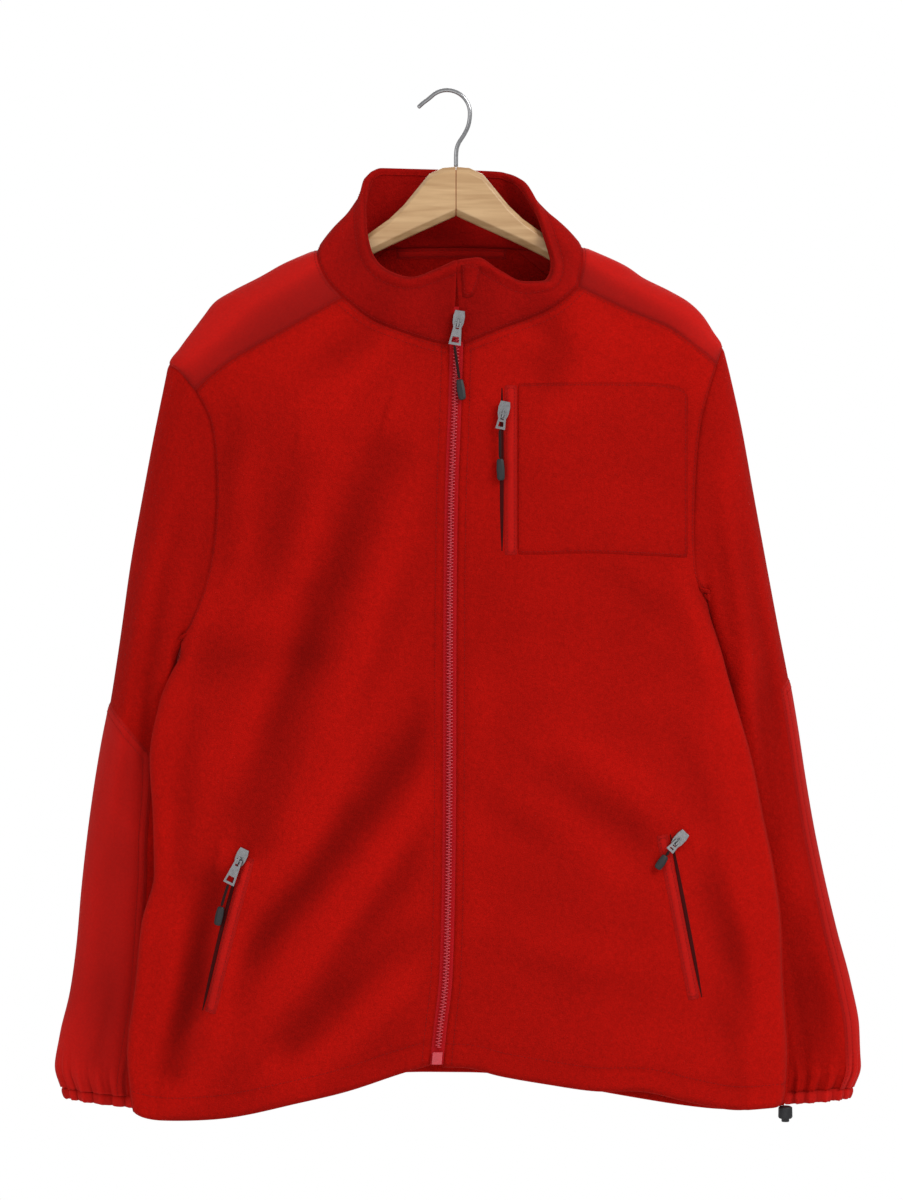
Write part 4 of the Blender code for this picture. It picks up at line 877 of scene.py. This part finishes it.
def panel_grids():
    """Outer grids of the panels that are cut from the body tube."""
    grids = {}
    sides = {}
    for side, sign, turn in (("right", -1, 3.0), ("left", 1, 1.0)):
        armhole = seam(ARMHOLE_FRONT_LOW[side], SEG_ARM, True)
        hem_path = HEM_FRONT[side]
        sides[side] = side_seam(turn, ARMHOLE_FRONT_LOW[side][-1][1], hem_path[0][1], SEG_SIDE)
        yoke_front = seam(YOKE_FRONT[side], SEG_YOKE, True)
        top = np.concatenate([yoke_front, seam(NECK_FRONT[side], SEG_NECK, True)[1:]])
        opening = zip_edge(sign, NECK_FRONT[side][-1][1], hem_path[-1][1], SEG_ARM + SEG_SIDE)
        opening[0] = top[-1]
        hem = seam(hem_path, SEG_YOKE + SEG_NECK, True)
        hem[0] = sides[side][-1]
        hem[-1] = opening[-1]
        front = panel(top, hem, np.concatenate([armhole[:-1], sides[side]]), opening)
        yoke = panel(seam(YOKE_BACK[side], SEG_YOKE, False), yoke_front,
                     over_shoulder(ARMHOLE_BACK[side], ARMHOLE_FRONT[side]),
                     over_shoulder(NECK_SHOULDER[side], NECK_SIDE[side]))
        # The columns of both fronts and both yokes run from the wearer's right to the left.
        grids["front_" + side] = front[:, ::-sign]
        grids["yoke_" + side] = yoke[:, ::-sign]

    top = np.concatenate([seam(YOKE_BACK["left"], SEG_YOKE, False),
                          seam(NECK_BACK, SEG_BACK_NECK, False)[1:],
                          seam(YOKE_BACK["right"], SEG_YOKE, False)[::-1][1:]])
    hem = seam(HEM_BACK, 2 * SEG_YOKE + SEG_BACK_NECK, False)
    hem[0] = sides["left"][-1]
    hem[-1] = sides["right"][-1]
    edges = [np.concatenate([seam(ARMHOLE_BACK_LOW[side], SEG_ARM, False)[:-1], sides[side]])
             for side in ("left", "right")]
    grids["back"] = panel(top, hem, *edges)
    return grids


def relax(grid, place, reach, rounds=40):
    """Even out a grid round an (x, z) place on it, its edges kept."""
    nearest = np.linalg.norm(grid[..., [0, 2]] - np.array(place), axis=2)
    share = np.exp(-(nearest / reach) ** 2)[1:-1, 1:-1, None]
    for _ in range(rounds):
        mean = (grid[:-2, 1:-1] + grid[2:, 1:-1] + grid[1:-1, :-2] + grid[1:-1, 2:]) / 4.0
        grid[1:-1, 1:-1] += (mean - grid[1:-1, 1:-1]) * share


def collar_grid(grids):
    """Outer points of the collar, from its rim down to the neck seam."""
    front_right = grids["front_right"][0][SEG_YOKE:]
    back = grids["back"][0][SEG_YOKE:SEG_YOKE + SEG_BACK_NECK + 1]
    front_left = grids["front_left"][0][:SEG_NECK + 1]
    base = np.concatenate([front_right[::-1], grids["yoke_right"][::-1, -1][1:], back[::-1][1:],
                           grids["yoke_left"][1:, 0], front_left[::-1][1:]])
    columns = len(base) - 1
    count = np.arange(columns + 1)
    key = RIM["column"][-1] * count / columns
    rim = np.stack([curve(RIM, axis, key) for axis in ("x", "y", "z")], axis=1)
    away = np.stack([base[:, 0] - centre_x(base[:, 2]), base[:, 1], np.zeros(columns + 1)], axis=1)
    away /= np.linalg.norm(away, axis=1, keepdims=True)
    ends = smooth(np.minimum(count, columns - count) / (3.0 * FINE))
    down = np.concatenate([np.linspace(0.0, 0.16, 9)[:-1], np.linspace(0.16, 1.0, 30)])
    grid = []
    for share in down:
        bulge = COLLAR_BULGE * math.sin(math.pi * share) * ends
        grid.append(rim * (1 - share) + base * share + away * bulge[:, None])
    return np.array(grid)[:, ::-1]


def armhole_loop(grids, side):
    """Points of an armhole from the shoulder point down its front and up its back."""
    left = side == "left"
    front = grids["front_" + side][:SEG_ARM + 1, -1 if left else 0]
    back = grids["back"][:SEG_ARM + 1, 0 if left else -1]
    yoke = grids["yoke_" + side][:, -1 if left else 0]
    return np.concatenate([yoke[SEG_YOKE_ARM:], front[1:], back[::-1][1:],
                           yoke[:SEG_YOKE_ARM + 1][1:-1]])


def sleeve_grid(loop, side):
    """Sleeve from its armhole to the cuff, each section matched to the armhole's points."""
    count = len(loop)
    last = len(SLEEVES[side]["y"])
    sections = {"number": np.arange(1.0, last + 1.0), **SLEEVES[side]}
    section = np.linspace(0.0, last, last * SLEEVE_STEPS + 1)[:, None]
    angle = math.tau * np.arange(count)[None, :] / count
    outer, inner = (np.stack([curve(sections, edge + "_x", section), 0 * section,
                              curve(sections, edge + "_z", section)], -1)
                    for edge in ("outer", "inner"))
    dent = np.zeros((len(section), count))
    for turn, first, end, width, depth in SLEEVE_FOLDS[side]:
        away = (np.degrees(angle) - turn + 180.0) % 360.0 - 180.0
        run = np.clip((section - first) / (end - first), 0.0, 1.0)
        dent += depth * np.exp(-(away / width) ** 2) * np.sin(np.pi * run)
    middle = (outer + inner) / 2
    middle[..., 1] = curve(sections, "y", section)
    reach = (outer - inner) / 2
    oval = middle + reach * np.cos(angle)[..., None]
    half = curve(sections, "half", section)
    oval[..., 1] -= (half - dent * np.abs(np.sin(angle))) * np.sin(angle)
    blend = (1.0 - (1.0 - np.minimum(section / ARMHOLE_BLEND, 1.0)) ** 2)[..., None]
    return loop[None] + (oval - loop[None]) * blend


def gather(grid, angle):
    """A sleeve with the waves of cloth that is drawn together above its cuff."""
    wave = np.sin(GATHERS * angle + 1.7 * np.sin(3.0 * angle)) + 0.5 * np.sin(2.3 * GATHERS * angle)
    above = np.linalg.norm(grid - grid[-1:], axis=2)
    amount = GATHER_DEPTH * np.exp(-(above / GATHER_REACH) ** 2)
    return grid + grid_normals(grid, True) * (amount * wave)[..., None]


def cuff_grid(end, angle):
    """A bound cuff below the last ring of a sleeve, drawn in a little, full and ribbed."""
    share = np.linspace(0.0, 1.0, 9)[:, None]
    grid = end + (end.mean(axis=0) - end) * 0.04 * share[..., None]
    grid[..., 2] = end[:, 2] - CUFF_HEIGHT * share
    height = 0.9 * np.sin(np.pi * share) + 0.35 * np.sin(3.1 * GATHERS * angle)
    return grid + grid_normals(grid, True) * height[..., None]


def ring(line):
    """A line of points, closed."""
    return np.concatenate([line, line[:1]])


def hollows(grid, normals, closed):
    """How far each point lies below the cloth round it, for the painted shade in folds."""
    soft = grid.copy()
    for _ in range(HOLLOW_ROUNDS):
        soft[1:-1] = (soft[:-2] + 2.0 * soft[1:-1] + soft[2:]) / 4.0
        if closed:
            soft = (np.roll(soft, 1, axis=1) + 2.0 * soft + np.roll(soft, -1, axis=1)) / 4.0
        else:
            soft[:, 1:-1] = (soft[:, :-2] + 2.0 * soft[:, 1:-1] + soft[:, 2:]) / 4.0
    below = np.sum((soft - grid) * normals, axis=2)
    return (below - np.median(below)).reshape(-1)


def groove(distance, centre, form):
    """Depth of a groove that runs at a distance inside an edge, and the shade painted along it."""
    width, depth, shade_width, shade = form
    return (depth * np.exp(-((distance - centre) / width) ** 2),
            shade * np.exp(-((distance - centre) / shade_width) ** 2))


def dress(node, grid, material, thickness, seams, closed=False, held="laid", rests_on=(),
          ending="_cloth", **options):
    """The cloth of a node: seams sink its edges, each stitch line is a groove; grooves and folds get
    painted shade.
    """
    normals = grid_normals(grid, closed)
    flat = grid.reshape(-1, 3)
    sink = np.zeros(len(flat))
    shade = np.zeros(len(flat))
    for line, offsets in seams:
        distance = edge_distance(flat, line)
        forms = [(0.0, SEAM_GROOVE)] + [(offset, STITCH_GROOVE) for offset in offsets]
        for centre, form in forms:
            deep, dark = groove(distance, centre, form)
            sink += deep
            shade += dark
    moved = flat - normals.reshape(-1, 3) * np.minimum(sink, DEEPEST_GROOVE)[:, None]
    item = shell(node + ending, moved.reshape(grid.shape), material, thickness, closed,
                 normals=normals, **options)
    # Painted shade in the hollows of the folds, and a little painted highlight (down to -0.3) on
    # ridges.
    fold = np.clip(hollows(grid, normals, closed) / PAINTED_FOLD_SHADE, -0.3, 1.0)
    add_shade(item, np.minimum(PAINTED_SEAM_SHADE * shade + fold, 1.0))
    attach(item, JACKET)
    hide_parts(node)
    return item


# ---- sewing ----------------------------------------------------------------------------
def edge_lines(grid, side, low=0, high=None):
    """An edge of a grid and the line a few steps inside it."""
    if side == "top":
        return grid[0, low:high], grid[3, low:high]
    if side == "bottom":
        return grid[-1, low:high], grid[-4, low:high]
    if side == "first":
        return grid[low:high, 0], grid[low:high, 3]
    return grid[low:high, -1], grid[low:high, -4]


def stitch(centre, run, normal):
    """One stitch: a short thread that dips in at both ends."""
    side = run.cross(normal)
    points = []
    for part, size in STITCH_FORM:
        middle = centre + run * (part * STITCH_LENGTH / 2) + normal * (size - 0.6) * STITCH_RADIUS
        for step in range(STITCH_SIDES):
            angle = math.tau / STITCH_SIDES * step
            way = side * math.cos(angle) + normal * math.sin(angle)
            points.append(middle + way * STITCH_RADIUS * size)
    return points


def sew(lines):
    """All topstitching as one piece; lines hold (points, normals)."""
    vertices = []
    faces = []
    for points, normals in lines:
        for index in range(1, len(points) - 1):
            run = points[index + 1] - points[index - 1]
            if run.length >= LEAST_STITCH_RUN:
                faces += tube_faces(len(vertices), len(STITCH_FORM), STITCH_SIDES)
                vertices += stitch(points[index], run.normalized(), normals[index])
    item = make_mesh("topstitching", [tuple(v) for v in vertices], faces, thread)
    outward(item)
    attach(item, JACKET)


def stitch_line(face, line, inner, offset):
    """Even places on a face at an offset inside an edge line."""
    length = np.linalg.norm(np.diff(line, axis=0), axis=1).sum()
    count = max(int(length / STITCH_PITCH), 2)
    edge = evenly(line, count)
    within = evenly(inner, count)
    points = []
    normals = []
    for index, start in enumerate(edge):
        run = edge[min(index + 1, count)] - edge[max(index - 1, 0)]
        run = run / max(np.linalg.norm(run), 1e-9)
        way = within[index] - start
        way = way - run * way.dot(run)
        way = way / max(np.linalg.norm(way), 1e-9)
        point, normal, _, _ = face.find_nearest(Vector(start + way * offset))
        points.append(point)
        normals.append(normal)
    return points, normals


def on_face(face, places, lift, start_y):
    """The points over (x, z) places on a face, seen from start_y, and the normals there."""
    points = np.zeros((*places.shape[:2], 3))
    normals = np.zeros_like(points)
    for spot in np.ndindex(places.shape[:2]):
        x, z = places[spot]
        point, normal, _, _ = face.ray_cast(Vector((x, start_y, z)), Vector((0.0, 1.0, 0.0)))
        points[spot] = point
        normals[spot] = normal
    return points + normals * lift, normals


def strip(path, half, segments, columns, taper=0.0):
    """Rows of places across a path, seen from the front or the back, narrower at tapered ends."""
    middle = along(path, segments)
    run = np.gradient(middle, axis=0)
    run /= np.linalg.norm(run, axis=1, keepdims=True)
    side = np.stack([-run[:, 1], run[:, 0]], axis=1)
    share = np.linspace(-1.0, 1.0, columns)[None, :, None]
    down = np.linspace(0.0, 1.0, len(middle))
    width = half * np.maximum(np.sin(np.pi * down), 0.03) ** taper
    return middle[:, None] + side[:, None] * width[:, None, None] * share


def lay(node, under, places, material, lift, offsets=(), start_y=BEFORE_FRONT, crown=0.0,
        edges=("top", "bottom", "first", "last"), ending="_cloth"):
    """A thin piece sewn flat onto a panel, a little fuller along its middle."""
    points, normals = on_face(face_of(under), places, lift + PATCH, start_y)
    across = np.linspace(-1.0, 1.0, places.shape[1])
    points = points + normals * (crown * (1.0 - across ** 2))[None, :, None]
    if np.sum(grid_normals(points, False) * normals) < 0.0:
        points = points[:, ::-1]
    item = dress(node, points, material, PATCH,
                 [(edge_lines(points, edge)[0], offsets) for edge in edges],
                 rests_on=[under.name], ending=ending)
    own = face_of(item)
    for edge in edges:
        sewn.extend(stitch_line(own, *edge_lines(points, edge), offset) for offset in offsets)


# ---- cloth -----------------------------------------------------------------------------
grids = panel_grids()
grids["collar"] = collar_grid(grids)
relax(grids["front_left"], ARMHOLE_FRONT_LOW["left"][-1], 32.0)

# Seams by piece: edge, first and last step along it, and how far inside it the stitches run.
SEAMS = {
    "front_right": [("top", 0, SEG_YOKE + 1, BY_SEAM), ("top", SEG_YOKE, None, BY_NECK),
                    ("first", 0, SEG_ARM + 1, BY_SEAM), ("first", SEG_ARM, None, ()),
                    ("last", 0, None, BY_ZIP), ("bottom", 0, None, BY_HEM)],
    "front_left": [("top", 0, SEG_NECK + 1, BY_NECK), ("top", SEG_NECK, None, BY_SEAM),
                   ("last", 0, SEG_ARM + 1, BY_SEAM), ("last", SEG_ARM, None, ()),
                   ("first", 0, None, BY_ZIP), ("bottom", 0, None, BY_HEM)],
    "back": [("top", 0, None, BY_SEAM), ("first", 0, None, ()), ("last", 0, None, ()),
             ("bottom", 0, None, BY_HEM)],
}
for side in ("right", "left"):
    SEAMS["yoke_" + side] = [(edge, 0, None, BY_SEAM) for edge in ("top", "bottom", "first", "last")]
ON_HANGER = ("hanger_arm_right", "hanger_arm_left")

cloth = {}
sewn = []
for name, seams in SEAMS.items():
    grid = grids[name]
    grooves = [(edge_lines(grid, side, low, high)[0], offsets)
               for side, low, high, offsets in seams]
    if name.startswith("yoke"):
        item = dress(name, grid, woven, WOVEN, grooves, held="hung", rests_on=ON_HANGER)
    else:
        item = dress(name, grid, fleece, FLEECE, grooves, held="hung")
    cloth[name] = item
    face = face_of(item)
    for side, low, high, offsets in seams:
        line, inner = edge_lines(grid, side, low, high)
        sewn += [stitch_line(face, line, inner, offset) for offset in offsets]

# The collar: two layers, a rolled rim, and a line of stitches under it.
grid = grids["collar"]
rim_line = grid[0]
neck_line = grid[-1]
depth_down = np.linalg.norm(grid - grid[:1], axis=2)
roll = np.exp(-((depth_down - ROLL_DOWN) / ROLL_WIDTH) ** 2)
grid = grid + grid_normals(grid, False) * (ROLL_OUT * roll)[..., None]
item = dress("collar", grid, collar_fleece, COLLAR_WALL + ROLL_WALL * roll,
             [(neck_line, BY_SEAM), (rim_line, (BY_RIM,))], rounds=5, held="hung")
cloth["collar"] = item
face = face_of(item)
sewn.append(stitch_line(face, rim_line, grid[12], BY_RIM))
sewn.append(stitch_line(face, grid[-1], grid[-4], BY_SEAM[0]))

# Sleeves with their patches, and with gathers above their bound cuffs.
for side in ("right", "left"):
    grid = sleeve_grid(armhole_loop(grids, side), side)
    if side == "left":
        grid = np.roll(grid[:, ::-1], 1, axis=1)
    count = grid.shape[1]
    angle = math.tau * np.arange(count) / count
    grid = gather(grid, angle)
    sleeve = dress("sleeve_" + side, grid, fleece, FLEECE,
                   [(ring(grid[0]), ()), (ring(grid[-1]), ())], True, held="hung")

    first, low, high = FOREARM_PATCHES[side]
    spot = (slice(first * SLEEVE_STEPS, None), np.arange(low * FINE, high * FINE + 1) % count)
    patch = grid[spot] + grid_normals(grid, True)[spot] * (PATCH + PATCH_GAP)
    sewn_edges = [edge_lines(patch, edge) for edge in ("top", "first", "last")]
    item = dress("sleeve_patch_" + side, patch, woven, PATCH,
                 [(line, BY_PATCH) for line, _ in sewn_edges], rests_on=[sleeve.name])
    face = face_of(item)
    for line, inner in sewn_edges:
        sewn += [stitch_line(face, line, inner, offset) for offset in BY_PATCH]

    cuff = cuff_grid(grid[-1], angle)
    dress("cuff_" + side, cuff, woven, FLEECE, [(ring(cuff[0]), ())], True, held="gathered",
          rounds=3)


# ---- what lies on the cloth ------------------------------------------------------------
tops = along([(x, top) for x, top, _ in CHEST_POCKET], 46)
lows = along([(x, low) for x, _, low in CHEST_POCKET], 46)
share = np.linspace(0.0, 1.0, 48)[:, None, None]
lay("chest_pocket", cloth["front_left"], tops[None] * (1 - share) + lows[None] * share, fleece,
    0.25, BY_POCKET, edges=("top", "bottom", "last"))
for welt, slit, side, welt_path, half, lift, slit_path in (
        ("chest_welt", "chest_zip", "left", CHEST_WELT, CHEST_WELT_HALF, 0.5, CHEST_SLIT),
        ("pocket_welt_right", "pocket_zip_right", "right", POCKET_WELTS["right"],
         POCKET_WELT_HALF, 0.6, POCKET_SLITS["right"]),
        ("pocket_welt_left", "pocket_zip_left", "left", POCKET_WELTS["left"],
         POCKET_WELT_HALF, 0.6, POCKET_SLITS["left"])):
    lay(welt, cloth["front_" + side], strip(welt_path, half, 60, 9), woven, lift, BY_SEAM,
        crown=lift)
    # A dark sheet over each slit paints the shadow in the opening.
    lay(slit, cloth["front_" + side], strip(slit_path, SLIT_HALF, 60, 5, 0.35), shadow_sheet, 0.35,
        ending="_tape")
guard = np.array([along(row, 12) for row in CHIN_GUARD])
guard = np.array([along(guard[:, column], 14) for column in range(13)]).transpose(1, 0, 2)
lay("chin_guard", cloth["collar"], guard, collar_fleece, 0.5, BY_SEAM, crown=0.8)
lay("neck_tape", cloth["back"], strip(NECK_TAPE, NECK_TAPE_HALF, 50, 7), woven, 0.4, BY_TAPE,
    start_y=INSIDE_BODY)
sew(sewn)


# ---- front zip -------------------------------------------------------------------------
ZIP_FOOT = NECK_FRONT["right"][-1][1]


def zip_line(heights):
    """Points down the zip's centre line, level with the fronts' faces."""
    held = np.minimum(heights, ZIP_FOOT)
    points = body(turn_of(centre_x(held), held, True), held)
    rim = np.array([(RIM["x"][0] + RIM["x"][-1]) / 2, RIM["y"][0], RIM["z"][0]])
    share = (np.maximum(heights, ZIP_FOOT) - ZIP_FOOT) / (rim[2] - ZIP_FOOT)
    foot_z = np.array([ZIP_FOOT])
    foot = body(turn_of(centre_x(foot_z), foot_z, True), foot_z)
    return np.where(share[:, None] > 0.0, foot + (rim - foot) * share[:, None], points)


def zip_gap(z):
    """Half the gap between the fronts at a height, which closes up the collar."""
    share = max(z - ZIP_FOOT, 0.0) / (RIM["z"][0] - ZIP_FOOT)
    return ZIP_HALF + (RIM_GAP - ZIP_HALF) * share


def tooth(here, run, sign):
    """Points of one tooth, as rings from its foot out."""
    out = run.cross(Vector((1.0, 0.0, 0.0))).normalized()
    out = out if out.y < 0.0 else -out
    side = run.cross(out).normalized()
    side = side if side.x > 0.0 else -side
    centre = here + side * sign * TOOTH_ASIDE + out * TOOTH_PROUD
    points = []
    for deep, scale in TOOTH:
        for step in range(TOOTH_SIDES):
            angle = math.tau / TOOTH_SIDES * (step + 0.5)
            wide, tall = (math.copysign(abs(wave) ** TOOTH_SQUARE, wave) * scale
                          for wave in (math.cos(angle), math.sin(angle)))
            points.append(tuple(centre + side * wide * TOOTH_HALF_WIDTH
                                + run * tall * TOOTH_HALF_HEIGHT + out * deep * TOOTH_DEPTH))
    return points


heights = np.linspace(TAPE_TOP, HEM_FRONT["right"][-1][1], 260)
line = zip_line(heights)
for side, sign in (("right", -1), ("left", 1)):
    grid = []
    for z, place in zip(heights, line):
        reach = zip_gap(z) - TAPE_CLEAR
        row = [place + np.array([sign * reach * share, TAPE_DROP, 0.0])
               for share in np.linspace(1.0, 0.03, 5)]
        grid.append(row[::-sign])
    item = shell("zip_tape_" + side + "_cloth", np.array(grid), tape_cloth, TAPE_WALL)
    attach(item, JACKET)
    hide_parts("zip_tape_" + side)

vertices = []
faces = []
line = [Vector(place) for place in zip_line(np.arange(CHAIN_TOP, CHAIN_END, -TOOTH_PITCH))]
for number, (here, after) in enumerate(zip(line, line[1:])):
    faces += tube_faces(len(vertices), len(TOOTH), TOOTH_SIDES)
    vertices += tooth(here, (after - here).normalized(), 1.0 if number % 2 else -1.0)
item = make_mesh("zip_teeth", vertices, faces, teeth, 50)
outward(item)
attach(item, JACKET)
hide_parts("zip_chain")


# ---- hard pieces -----------------------------------------------------------------------
def finish_node(node, material, width=None, segments=2, rounds=0):
    """A solid that keeps its form: its own material, and its edges or its whole form rounded."""
    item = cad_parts[node]
    item.data.materials.clear()
    item.data.materials.append(material)
    join = item.modifiers.new("join", "WELD")
    join.merge_threshold = JOIN_WITHIN * MM
    if rounds:
        rounder = item.modifiers.new("round", "SUBSURF")
        rounder.levels = rounds
        rounder.render_levels = rounds
        full = item.modifiers.new("full", "DISPLACE")
        full.strength = ROUND_GAIN * MM
        full.mid_level = 0.0
        item.data.shade_smooth()
    if width:
        edge = item.modifiers.new("edges", "BEVEL")
        edge.width = width * MM
        edge.segments = segments
        edge.limit_method = "ANGLE"
        edge.angle_limit = math.radians(30)
        item.data.shade_smooth()
        tidy = item.modifiers.new("normals", "WEIGHTED_NORMAL")
        tidy.keep_sharp = False


for name in ("main", "chest", "pocket_right", "pocket_left"):
    finish_node(name + "_slider", metal, 0.35)
    finish_node(name + "_pull", metal, 0.22)
    finish_node(name + "_grip", black, 0.5, 3)
    finish_node(name + "_cord", cord_cloth, rounds=2)
for side in ("right", "left"):
    finish_node("hanger_arm_" + side, wood, 2.2, 4)
finish_node("zip_box", teeth, 0.6, 3)
finish_node("cord_lock", black, 0.5, 3)
finish_node("hanger_hook", chrome, rounds=2)


# ---- stage, light and camera -----------------------------------------------------------
def make_stage():
    """A pale round floor under the jacket, just below the photograph's frame."""
    paper, _ = new_material("stage_paper", (0.86, 0.86, 0.86), 0.9)
    turns = [math.tau * step / FLOOR_SIDES for step in range(FLOOR_SIDES)]
    rim = [(FLOOR_RADIUS * math.cos(turn), FLOOR_RADIUS * math.sin(turn), FLOOR_Z) for turn in turns]
    make_mesh("stage_floor", rim, [tuple(range(FLOOR_SIDES))], paper)


def make_world():
    """White behind the jacket, and a softer even light on it."""
    world = bpy.data.worlds.new("studio")
    world.use_nodes = True
    nodes = world.node_tree.nodes
    nodes["Background"].inputs["Color"].default_value = (1.0, 1.0, 1.0, 1.0)
    path = nodes.new("ShaderNodeLightPath")
    level = nodes.new("ShaderNodeMapRange")
    set_inputs(level, To_Min=WORLD_LIGHT, To_Max=1.0)
    world.node_tree.links.new(path.outputs["Is Camera Ray"], level.inputs["Value"])
    world.node_tree.links.new(level.outputs["Result"], nodes["Background"].inputs["Strength"])
    bpy.context.scene.world = world


def add_light(name, place, width, height, energy):
    """A soft light in metres and watts that looks at the middle of the jacket."""
    light = bpy.data.lights.new(name, "AREA")
    light.shape = "RECTANGLE"
    light.size = width
    light.size_y = height
    light.energy = energy
    item = bpy.data.objects.new(name, light)
    item.location = place
    item.rotation_euler = (JACKET_MIDDLE - Vector(place)).to_track_quat("-Z", "Y").to_euler()
    bpy.context.scene.collection.objects.link(item)


FLOOR_SIDES = 96
FLOOR_RADIUS = 1180.0
FLOOR_Z = -1350.0
WORLD_LIGHT = 0.50
JACKET_MIDDLE = Vector((0.0, 0.0, -0.45))

make_stage()
make_world()
add_light("key", (2.2, -2.2, 1.6), 1.6, 1.6, 58.0)
add_light("fill", (-2.2, -2.4, 0.2), 2.0, 2.0, 12.0)
add_light("low", (0.0, -2.8, -1.2), 2.6, 1.2, 9.0)
add_light("back", (0.3, 2.6, 1.2), 2.4, 1.6, 26.0)
bpy.context.scene.view_settings.view_transform = "Standard"

PIXEL = 0.0009          # metres of the jacket's plane for each pixel of the photograph
PHOTO_HEIGHT = 1200
PHOTO_MIDDLE = (451.5, 600.0)
ORIGIN_PIXEL = (447.0, 92.0)
CAMERA_AWAY = 3.0
SENSOR = 36.0
camera = bpy.data.objects.new("camera", bpy.data.cameras.new("camera"))
camera.data.sensor_width = SENSOR
camera.data.lens = SENSOR * CAMERA_AWAY / (PHOTO_HEIGHT * PIXEL)
camera.data.clip_end = 50.0
camera.location = ((PHOTO_MIDDLE[0] - ORIGIN_PIXEL[0]) * PIXEL, -CAMERA_AWAY,
                   (ORIGIN_PIXEL[1] - PHOTO_MIDDLE[1]) * PIXEL)
camera.rotation_euler = (math.radians(90), 0.0, 0.0)
bpy.context.scene.collection.objects.link(camera)
bpy.context.scene.camera = camera

bpy.context.view_layer.update()
